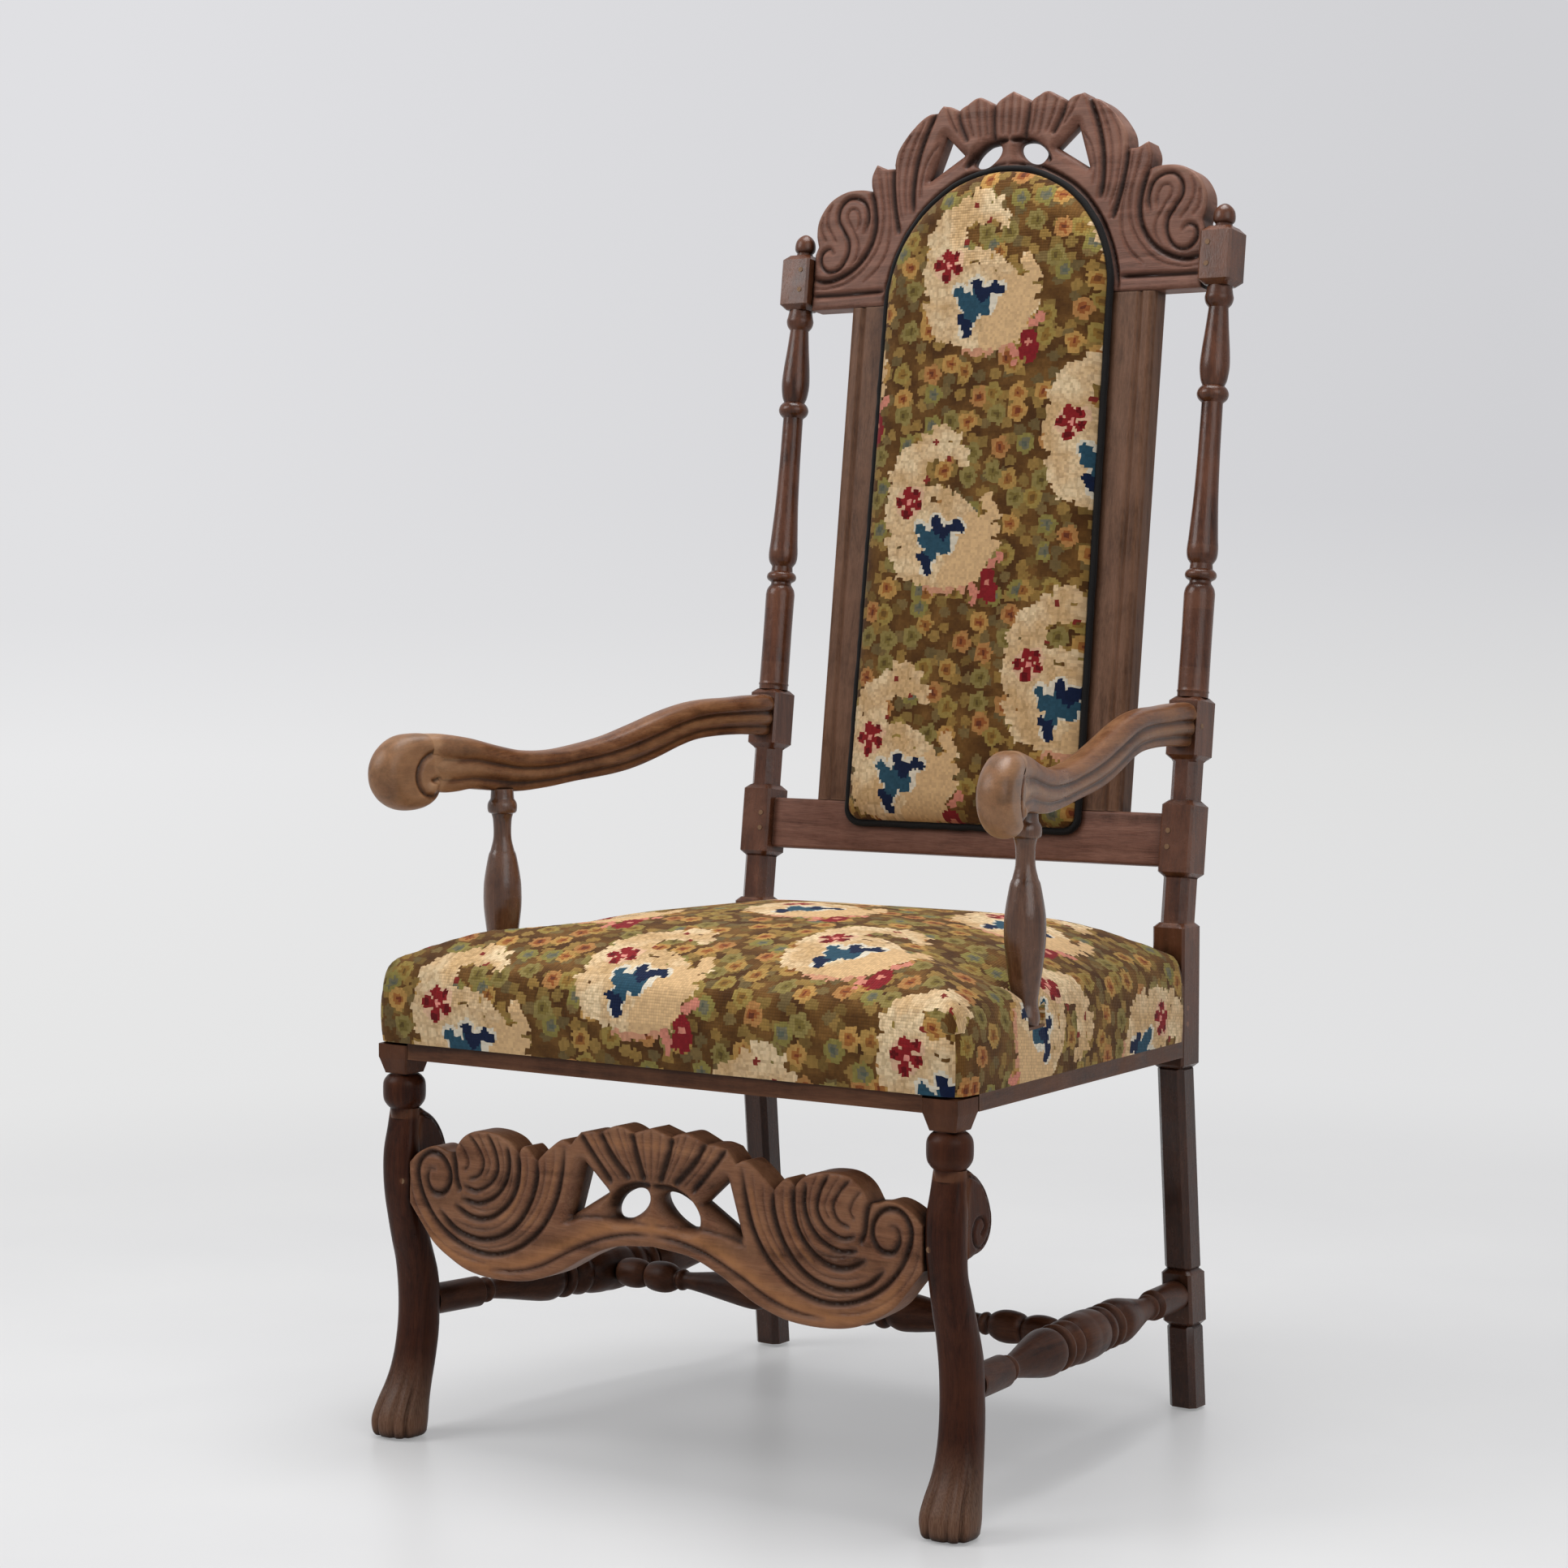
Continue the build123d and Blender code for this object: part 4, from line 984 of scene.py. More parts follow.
# ---------------------------------------------------------------- back
@dataclass
class BackFrame(SubAssembly):
    """Rear posts, carved crest, stiles and lower rail of the leaning back."""

    block_half: float = 16.5
    block_cut: float = 2.2
    neck_half: float = 12.5
    foot_half: float = 13.9
    column: tuple[Points, ...] = (
        ((14.5, 664), (14.5, 668)), ((14.5, 668), (15.2, 669.5), (14.5, 671)), ((14.5, 671), (14.3, 720), (14.5, 760)),
        ((14.5, 760), (13.4, 765), (10.2, 770)), ((10.2, 770), (10.2, 772)),
        ((10.2, 772), (13.9, 774.5), (14.9, 777.5), (13.9, 780.5), (10.9, 783)), ((10.9, 783), (10.4, 788)),
        ((10.4, 788), (13.6, 793), (14.6, 801), (13.6, 815), (11.6, 850), (10.5, 890), (10, 938)),
        ((10, 938), (13.6, 941.5), (15, 946), (13.6, 950.5), (10.4, 954)),
        ((10.4, 954), (12.6, 960), (14, 972), (13.2, 987), (11, 1008), (9.3, 1027)),
        ((9.3, 1027), (12.4, 1031), (13.6, 1036), (12.8, 1040)), ((12.8, 1040), (11.5, 1047)))
    finial: tuple[Points, ...] = (((8.8, 1102), (7.8, 1105.5)),
                                  ((7.8, 1105.5), (10, 1108), (10.4, 1112.5), (9.4, 1117.5), (6.5, 1121.5), (3, 1124),
                                   (0.2, 1124.8)))
    crest_edge: tuple[Points, ...] = (
        ((0, 1250), (12, 1244), (20, 1238)), ((20, 1238), (30, 1244), (40, 1247), (52, 1241), (62, 1236)),
        ((62, 1236), (70, 1240), (80, 1242)), ((80, 1242), (86, 1236)),
        ((86, 1236), (97, 1234), (108, 1227), (120, 1215), (130, 1200), (133, 1184)),
        ((133, 1184), (143, 1184), (154, 1189)), ((154, 1189), (159, 1177), (158, 1163)),
        ((158, 1163), (172, 1165), (188, 1164), (203, 1158), (213, 1149), (220, 1136), (221, 1122), (218, 1110)),
        ((218, 1110), (221.3, 1102)), ((221.3, 1102), (221.3, 1046)), ((221.3, 1046), (122, 1046)))
    carving: Carving = Carving(
        FRAME_FRONT, FRAME_REAR, 3.5, 4.0, ((75, 1211), (53, 1191), (90, 1169)), (25.5, 1188.5, 16.5, 9.5, -28),
        (1.3, 1.45),
        cuts=(
            Cut(((20, 1240), (19.5, 1222), (17, 1201)), 6, 3.0), Cut(((62, 1238), (58, 1222), (48, 1203)), 6, 3.0),
            vein((0, 1250), (0, 1226), (0, 1203)), vein((40, 1248), (37, 1226), (33, 1203)),
            vein((9, 1246), (9, 1222), (8, 1206)),
            vein((30, 1245), (28, 1224), (25, 1206)), vein((52, 1242), (47, 1222), (41, 1206)),
            vein((77, 1242), (69, 1226), (60, 1212)),
            Cut(((0, 1202), (14, 1201.5), (28, 1197), (40, 1188), (49, 1177)), 5, 4.5),
            Cut(((86, 1238), (97, 1214), (105, 1188), (108, 1160), (106, 1136)), 5.6, 4.2),
            Cut(((133, 1186), (132, 1166), (128, 1142), (121, 1116)), 5.6, 4.2),
            vein((97, 1232), (109, 1208), (116, 1184), (117, 1158), (113, 1134)),
            vein((110, 1224), (122, 1201), (126, 1178), (124, 1152), (118, 1128)),
            vein((80, 1206), (92, 1190), (98, 1170), (98, 1150)),
            Cut(((0, 1178.5), (25, 1176), (50, 1168), (82, 1149), (107, 1121), (123, 1090), (131, 1062), (132, 1046)),
                4.5, 3.6),
            Cut(((159, 1166), (153, 1148), (150, 1126), (155, 1106), (168, 1089), (187, 1078), (205, 1074),
                 (222, 1077)), 5.6, 4.2),
            vein((151, 1186), (145, 1162), (140, 1136), (143, 1110), (155, 1090), (174, 1074), (198, 1067),
                 (221, 1067)),
            vein((141, 1184), (137, 1160), (132, 1132), (133, 1104), (143, 1085), (160, 1070)),
            Cut(((163, 1119), (159, 1134), (163, 1149), (173, 1156), (185, 1156), (194, 1147), (195, 1135),
                 (188, 1124), (181, 1112),
                 (182, 1098), (191, 1086), (204, 1084), (213, 1092), (212, 1103), (203, 1107), (197, 1100)), 4.4, 3.4),
            vein((171, 1122), (169, 1134), (173, 1144), (181, 1145), (184, 1137), (176, 1124), (169, 1110),
                 (170, 1097), (178, 1086)),
            vein((203, 1153), (208, 1142), (207, 1130), (200, 1119), (195, 1112)),
            vein((214, 1140), (215, 1126), (208, 1114)),
            Cut(((133, 1061), (180, 1060), (222, 1060)), 5, 3.6)),
        wear_and_highlight=(
            Cut(((-30, 1238), (80, 1234)), 10, 0.4), Cut(((120, 1216), (129, 1192), (127, 1160)), 8, 0.4),
            Cut(((160, 1160), (190, 1160), (214, 1146), (219, 1120)), 7, 0.5)))
    stile_profile: Points = ((124, 3.5), (126, 5.8), (129, 6), (150, 6), (154, 5.8), (156, 4.6), (157.2, 4),
                             (158.6, 4.8),
                             (160.5, 6), (164, 6), (168, 5.6), (171, 4), (172.6, 1.5), (172.8, -1))
    rail_top: float = 556.0
    rail_foot: float = 507.0
    rail_half: float = 221.3
    rail_round: float = 3.0

    def post(self, side: int, word: str, finish: bpy.types.Material) -> None:
        """Makes a rear post: its splayed foot, and above the seat its leaning turned column.

        Args:
            side: 1 for the right and -1 for the left.
            word: The side's word in the piece's name.
            finish: Its material.
        """

        def low(section: np.ndarray, z: float) -> np.ndarray:
            """Puts a section of the foot, which slopes back down to the floor."""
            back = FOOT_BACK * min(1.0, max(0.0, (BLOCK_FOOT - z) / BLOCK_FOOT))
            return across(standing(section, POST_X, POST_Y + back, z), side)

        def high(section: np.ndarray, z: float) -> np.ndarray:
            """Puts a section of the leaning part."""
            return across(leaning(POST_X + section[:, 0], -section[:, 1], np.full(len(section), z)), side)

        shell = Shell()
        h, c, n, f = self.block_half, self.block_cut, self.neck_half, self.foot_half
        foot = [(0, f, 5), (76, f, 5), (78, 12, 3), (82, 15.5, 2.5), (128, 15.5, 2.5), (132, 12, 3), (134, f, 5),
                (BLOCK_FOOT - 1, f, 5), (BLOCK_FOOT, h - 4, c), (326, h, c), (453, h, c), (457, h - 4, c)]
        shell.stack(foot, low, lambda half: 0.3 if half > 15 else 0.0)
        rows = [(RAKE_Z, 13.5, 6), (497, 13.5, 6), (498, h - 4, c), (502, h, c), (564, h, c), (568, h - 4, c),
                (569, n, 6), (604, n, 6), (606, h - 4, c), (610, h, c), (660, h, c), (664, h - 4, c)]
        rows += [(z, r, None) for r, z in trace(self.column)]
        rows += [(1047, h - 5, c), (1052, h, c), (1097, h, c), (1102, h - 5, c)]
        rows += [(z, r, None) for r, z in trace(self.finial)]
        shell.stack(rows, high, lambda half: 0.3 if half > 14.4 else 0.0)
        self.fit(shell.finish(f"turned_post_{word}"), finish, f"rear_post_{word}")

    def crest(self, finish: bpy.types.Material) -> None:
        """Makes the carved and pierced crest over the round arch.

        Args:
            finish: Its material.
        """
        angles = np.radians(np.linspace(0, 90, 60))
        arch = np.column_stack([ARCH_R * np.cos(angles), ARCH_Z + ARCH_R * np.sin(angles)])
        half = np.vstack([trace(self.crest_edge, 1.6), arch[1:]])
        self.fit(self.carving.shell(half, on_back).finish("carved_crest"), finish, "crest_rail")

    def stile(self, side: int, word: str, finish: bpy.types.Material) -> None:
        """Makes a stile with the moulding that runs down its face.

        Args:
            side: 1 for the right and -1 for the left.
            word: The side's word in the piece's name.
            finish: Its material.
        """
        section = np.vstack([smooth_line(self.stile_profile, 0.8),
                             [(172.8, -15), (172.3, FRAME_REAR), (124.4, FRAME_REAR), (124, -15)]])
        shell = Shell()
        shell.loft([across(leaning(section[:, 0], section[:, 1], np.full(len(section), z)), side)
                    for z in np.linspace(self.rail_top, ARCH_Z, 30)])
        self.fit(shell.finish(f"moulded_stile_{word}", 25), finish, f"back_stile_{word}")

    def lower_rail(self, finish: bpy.types.Material) -> None:
        """Makes the lower back rail, its edges rounded over, the front ones more.

        Args:
            finish: Its material.
        """
        r, k, top, foot = self.rail_round, 1.0, self.rail_top, self.rail_foot
        corners = ((FRAME_FRONT - r, top - r, r, 90), (FRAME_FRONT - r, foot + r, r, 0),
                   (FRAME_REAR + k, foot + k, k, -90), (FRAME_REAR + k, top - k, k, -180))
        section = np.array([(x + radius * math.cos(a), z + radius * math.sin(a)) for x, z, radius, start in corners
                            for a in np.radians(np.linspace(start, start - 90, 7))])
        shell = Shell()
        shell.loft([leaning(np.full(len(section), x), section[:, 0], section[:, 1])
                    for x in np.linspace(-self.rail_half, self.rail_half, 60)])
        self.fit(shell.finish("back_rail"), finish, "lower_back_rail")

    def build(self) -> None:
        """Makes and dresses the back."""
        upright = WaxedWalnut("walnut_waxed_post", "#2b1409", "#4c2917", "#683f2b", "#8b5f47", Grain.UPRIGHT, 0.23,
                              gloss=0.3, low=("#26130b", 0.3, 0.5)).material()
        lying = WaxedWalnut("walnut_waxed_crest", "#472c20", "#6d493c", "#855f50", "#9f7d6a", Grain.ACROSS).material()
        for side, word in SIDES:
            self.post(side, word, upright)
            self.stile(side, word, WaxedWalnut(f"walnut_waxed_stile_{word}", "#3d2619", "#614432", "#755543", "#97745c",
                                               Grain.UPRIGHT).material())
        self.crest(lying)
        self.lower_rail(lying)
        peg = WaxedWalnut("oak_peg_end", "#4a3426", "#6a4e3a", "#7d6048", "#8a6c50", Grain.DEEP, crevice_shade=0.5).material()
        self.keep(peg, "back_frame_pegs", "arm_pegs", "seat_frame_pegs", "stretcher_pegs")


# ---------------------------------------------------------------- seat frame and legs
@dataclass
class SeatFrame(SubAssembly):
    """Carved front legs and the rails of the seat."""

    front_edge: Points = ((-25, 0), (-27, 8), (-26, 18), (-20, 30), (-11, 45), (-3.5, 64), (0.5, 88), (2, 112),
                          (1, 136), (-2, 158),
                          (-6.5, 175), (-11, 195), (-15.5, 218), (-17, 240), (-16, 258), (-12, 277), (-8.5, 297))
    back_edge: tuple[Points, ...] = (((17, 0), (18.5, 14), (21, 30), (25.5, 47), (30.5, 65), (34.5, 84), (36, 98)),
                                     ((36, 98), (36, 130)),
                                     ((36, 130), (33, 146), (27, 164), (20.5, 182), (14, 200), (9.5, 214), (8, 240),
                                      (9.5, 297)))
    half_width: Points = ((22.4, 0), (24.2, 13), (23, 28), (20.2, 48), (18.2, 72), (17.2, 104), (17.2, 140), (17, 165),
                          (16.8, 190), (16.4, 212), (17, 236), (17, 262), (15.5, 280), (14, 297))
    splay: Points = ((4, 0), (4, 20), (3.4, 44), (2, 72), (0.8, 104), (0.2, 140), (0, 165), (0, 297))
    curl_edge: Points = ((0, 222), (8.5, 222), (16, 224), (27, 226), (37, 233), (43, 244), (43.5, 257), (39, 271),
                         (30, 284),
                         (18, 293), (4, 297), (-6, 270), (-6, 240))
    curl_groove: Points = ((6, 292), (20, 286), (31, 274), (37, 261), (37, 249), (32, 238), (22, 232), (13, 236),
                           (10, 246),
                           (15, 255), (24, 256), (28, 249), (23, 243))
    ball: tuple[Points, ...] = (
        ((12, 288), (13, 297)), ((13, 297), (16, 300), (18.7, 305), (19.3, 313), (18.7, 321), (15.5, 326), (12.5, 328)),
        ((12.5, 328), (12.5, 334)))
    cap: Points = ((329, 12.5, 1), (330, 13, 1.5), (342, 16.4, 1.6), (343.5, 17, 1.6), (355.5, 17, 1.6),
                   (357, 12.5, 1.6),
                   (399, 12.5, 1.6), (400, 11.5, 1.6))

    def leg(self, side: int, word: str, finish: bpy.types.Material) -> None:
        """Makes a front leg: its scrolled shaft with a fluted toe, a ball, and the square cap.

        Args:
            side: 1 for the right and -1 for the left.
            word: The side's word in the piece's name.
            finish: Its material.
        """
        shell = Shell()
        front, back = smooth_line(self.front_edge), trace(self.back_edge, 2)
        width, splay = smooth_line(self.half_width), smooth_line(self.splay)
        angles = np.arange(96) * 2 * math.pi / 96
        ca, sa = np.cos(angles), np.sin(angles)
        # The shaft's section lies between an oval and a box, and flutes are cut round the toe's front.
        oval = np.column_stack([np.sign(part) * np.abs(part) ** (2 / 2.7) for part in (ca, sa)])
        flutes = 0.13 * np.clip(-sa * 2, 0, 1) * (0.5 + 0.5 * np.cos(angles * 10)) ** 3
        rings, tones = [], []
        top = self.back_edge[-1][-1][1]
        for z in np.concatenate([[0, 0.8], np.arange(2.5, top, 2.5), [top]]):
            y0, y1 = read_off(front, z), read_off(back, z)
            toe = (1 - flutes * np.clip((62 - z) / 30, 0, 1)) * (1 - 0.06 * max(0, 1 - z / 2.0))
            plan = oval * toe[:, None] * (read_off(width, z), (y1 - y0) / 2) + (read_off(splay, z), (y0 + y1) / 2)
            rings.append(across(standing(plan, LEG_X, LEG_Y, z), side))
            tones.append(0.5 * max(0.0, 1 - abs(z - 12) / 14))
        shell.loft(rings, tones)
        groove = smooth_line(self.curl_groove, 1.5)

        def cheek(points: np.ndarray, gap: np.ndarray) -> tuple[np.ndarray, np.ndarray]:
            """Gives half the curl's thickness, with its spiral groove."""
            cut = 2.2 * np.clip(1 - nearest(points, groove, 4)[0] / 2.2, 0, 1)
            # The groove's tone is lowered, so it is painted dark as shade.
            return np.maximum(16.4 * rolled(gap, 9, 2.6) - cut, 0.0), 0.1 - cut / 2.2

        def place(p: np.ndarray, d: np.ndarray) -> np.ndarray:
            """Puts the curl on the leg's middle plane."""
            return across(np.column_stack([LEG_X + d, LEG_Y + p[:, 0], p[:, 1]]), side)

        shell.plate([smooth_line(self.curl_edge, 1.5, True)], cheek, place, None, 1.6, (0.05, 0.3, 0.9, 2.0, 3.6, 5.8))
        shell.turn(trace(self.ball), (side * LEG_X, LEG_Y, 0), (side * LEG_X, LEG_Y, 1))
        shell.stack(self.cap, lambda s, z: across(standing(s, LEG_X, LEG_Y, z), side), lambda half: 0.75)
        self.fit(shell.finish(f"scrolled_leg_{word}"), finish, f"front_leg_{word}")

    def build(self) -> None:
        """Makes and dresses the seat frame."""
        finish = WaxedWalnut("walnut_waxed_leg", "#1a0b05", "#36190e", "#4a2818", "#704a34", Grain.UPRIGHT, 0.32,
                             gloss=0.1, low=("#745948", 0.01, 0.085)).material()
        for side, word in SIDES:
            self.leg(side, word, finish)
        for name, grain, nodes in (("walnut_waxed_rail", Grain.ACROSS, ("front_seat_rail", "rear_seat_rail")),
                                   ("walnut_waxed_side_rail", Grain.DEEP,
                                    ("side_seat_rail_right", "side_seat_rail_left"))):
            self.keep(WaxedWalnut(name, "#2c190f", "#4a2c1c", "#62402c", "#7d5840", grain).material(), *nodes)
        pine = WaxedWalnut("pine_glue_block", "#7a5a3a", "#9a7a52", "#b08e62", "#b89a70", Grain.UPRIGHT, 0.7).material()
        self.keep(pine, *(f"corner_block_{end}_{word}" for end in ("front", "rear") for _, word in SIDES))


# ---------------------------------------------------------------- stretchers
@dataclass
class Stretchers(SubAssembly):
    """Carved front stretcher, and the turned ones that tie the legs."""

    edge: tuple[Points, ...] = (
        ((0, 306), (10, 303), (20, 300)), ((20, 300), (29, 303.5), (38, 304.5), (48, 301), (57, 297)),
        ((57, 297), (67, 297.5), (78, 295)), ((78, 295), (88, 284)), ((88, 284), (98, 287), (112, 278), (126, 266)),
        ((126, 266), (139, 277), (147, 271)),
        ((147, 271), (157, 280), (172, 285), (190, 286), (203, 283), (213, 276), (221, 264)),
        ((221, 264), (229, 265), (240, 268), (251, 266), (263, 260), (272.7, 251)), ((272.7, 251), (272.7, 214)),
        ((272.7, 214), (258, 196), (245, 181), (228, 170), (205, 160), (175, 156), (140, 158), (110, 167), (90, 177),
         (70, 188),
         (40, 199.5), (0, 204)))
    block_end: tuple[Points, ...] = (((13.6, 0), (14, 2)), ((14, 2), (14, 56)), ((14, 56), (12, 58), (9.4, 60)),
                                     ((9.4, 60), (9.4, 63)), ((9.4, 63), (11.6, 66), (11.4, 69)))
    ball_end: tuple[Points, ...] = (((11, 0), (14.6, 4), (16.4, 13), (15.6, 22), (12.4, 29), (11, 30.5)),
                                    ((11, 30.5), (15, 34), (17, 43), (16.4, 52), (13, 59), (9.6, 62)),
                                    ((9.6, 62), (9.4, 64)), ((9.4, 64), (11.8, 66.5), (11.4, 69)))
    carving: Carving = Carving(
        0.0, -26.0, 4.0, 8.0, ((76, 268), (51, 245.5), (90, 222)), (26.5, 237.5, 21.5, 11, -29), (1.3, 1.28),
        cuts=(
            Cut(((94, 283), (98, 256), (106, 230), (122, 206), (147, 187), (177, 178), (208, 182), (236, 197),
                 (254, 218), (262, 240),
                 (259, 254), (248, 262), (235, 260), (226, 250), (225, 237), (233, 227), (245, 227), (251, 237),
                 (248, 247), (239, 247)),
                5.4, 4.2),
            Cut(((126, 268), (126, 250), (133, 229), (147, 209), (167, 195), (192, 190), (218, 196), (238, 212)), 5.6,
                4.4),
            Cut(((147, 273), (146, 255), (150, 237), (162, 221), (180, 210), (200, 209), (220, 218)), 5.6, 4.4),
            Cut(((159, 276), (157, 258), (162, 242), (174, 229), (192, 222), (212, 224)), 5.2, 4.0),
            Cut(((182, 285), (173, 270), (170, 254), (178, 241), (194, 233), (210, 236)), 4.8, 3.4),
            Cut(((203, 282), (193, 272), (186, 259), (191, 247), (204, 242)), 4.4, 2.8),
            Cut(((214, 274), (207, 266), (203, 256), (208, 249)), 3.6, 2.0),
            Cut(((222, 266), (219, 256), (217, 240), (212, 230)), 6, 4.0),
            vein((105, 280), (108, 256), (116, 231), (132, 208), (155, 191), (184, 183), (212, 187)),
            vein((116, 272), (117, 252), (124, 230), (140, 209), (161, 193), (188, 185)),
            vein((137, 274), (136, 253), (142, 233), (154, 215), (173, 202), (196, 199), (222, 205)),
            vein((153, 268), (153, 250), (158, 234), (170, 220), (188, 216), (206, 220)),
            vein((171, 284), (164, 268), (163, 252), (170, 238), (186, 229)),
            vein((193, 285), (183, 270), (178, 257), (184, 246)),
            vein((272, 240), (265, 214), (245, 190), (215, 174), (182, 169)),
            Cut(((22, 300), (16, 280), (8, 259)), 7, 4.4), Cut(((57, 298), (42, 277), (23, 259)), 7, 4.4),
            Cut(((78, 295), (62, 276), (42, 254)), 6, 3.8),
            vein((0, 304), (0, 282), (0, 260)), vein((38, 305), (28, 281), (16, 259)),
            vein((67, 298), (53, 278), (33, 257)),
            vein((30, 303), (22, 280), (12, 259)), vein((10, 303), (8, 282), (4, 260)),
            vein((48, 301), (35, 278), (20, 259)),
            Cut(((0, 256.5), (18, 255.5), (33, 250), (42, 241), (46, 232)), 5, 4.0),
            Cut(((0, 213.5), (30, 211), (60, 203), (92, 189), (122, 174), (150, 166), (180, 164)), 4.5, 3.0),
            Cut(((100, 214), (80, 221), (55, 224), (28, 223), (0, 222)), 4.5, 2.0)),
        wear_and_highlight=(
            Cut(((-30, 222), (30, 219), (62, 211), (92, 197), (122, 182), (152, 170), (185, 166), (215, 171),
                 (240, 186), (258, 210)), 13, 0.9),
            Cut(((104, 268), (110, 244), (122, 222), (140, 204)), 7, 0.6),
            Cut(((140, 262), (142, 242), (152, 222), (168, 209)), 6, 0.5),
            Cut(((-20, 292), (70, 288)), 9, 0.5)))
    bulb: tuple[Points, ...] = (
        ((11.4, 69), (9.4, 74), (12, 92), (16.5, 116), (20, 136), (20.5, 148), (17, 157)),
        ((17, 157), (14.6, 158.5), (14.6, 160)), ((14.6, 160), (20, 163), (20, 168), (16, 171)),
        ((16, 171), (15.2, 173)),
        ((15.2, 173), (19, 179), (20.6, 186), (18.8, 191)), ((18.8, 191), (18.2, 192.5)),
        ((18.2, 192.5), (21, 200), (22, 211), (21.8, 221)))
    bulb_radius: float = 22.0
    bulb_length: float = 442.0
    medial_radius: float = 19.0
    medial_height: float = 112.0
    ends: tuple[Points, ...] = ((LEG_X, LEG_Y + 34.9, 116.0),
                                (POST_X, POST_Y + FOOT_BACK * (BLOCK_FOOT - 105) / BLOCK_FOOT - 17.4, 108.0))

    def bar(self, length: float, r: float, end: tuple[Points, ...]) -> np.ndarray:
        """Draws a turned stretcher's profile.

        Args:
            length: Distance between its shoulders.
            r: Radius of its middle bulb.
            end: How it is turned at each end.

        Returns:
            Radius and distance along the bar, one pair a row.
        """
        k, u = r / self.bulb_radius, length / self.bulb_length
        line = trace([[(a * k, b * u) for a, b in run] for run in (*end, *self.bulb)], 1.2)
        return np.vstack([line, line[::-1][1:] * (1, -1) + (0, length)])

    def build(self) -> None:
        """Makes and dresses the stretchers."""
        carved = WaxedWalnut("walnut_waxed_stretcher", "#3d2214", "#714a35", "#8a634a", "#b07848", Grain.ACROSS, 0.42,
                             crevice_shade=0.9)
        shell = self.carving.shell(trace(self.edge, 1.6),
                                   lambda p, d: np.column_stack([p[:, 0], RAIL_FACE - d, p[:, 1]]))
        self.fit(shell.finish("carved_stretcher"), carved.material(), "front_stretcher")
        turned = WaxedWalnut("walnut_waxed_side_stretcher", "#200e07", "#3d2114", "#583624", "#7a5440", Grain.DEEP, 0.4)
        medial = replace(turned, name="walnut_waxed_medial", grain=Grain.ACROSS, gloss=0.12).material()
        turned = turned.material()
        start, end = np.array(self.ends)
        for side, word in SIDES:
            shell = Shell()
            shell.turn(self.bar(float(np.linalg.norm(end - start)), self.bulb_radius, self.block_end),
                       across(start, side), across(end, side))
            self.fit(shell.finish(f"turned_stretcher_{word}", 30), turned, f"side_stretcher_{word}")
        x, y, _ = (start + end) / 2
        half, shell = x - 22.6, Shell()
        shell.turn(self.bar(2 * half, self.medial_radius, self.ball_end), (-half, y, self.medial_height),
                   (half, y, self.medial_height))
        self.fit(shell.finish("turned_medial", 30), medial, "medial_stretcher")


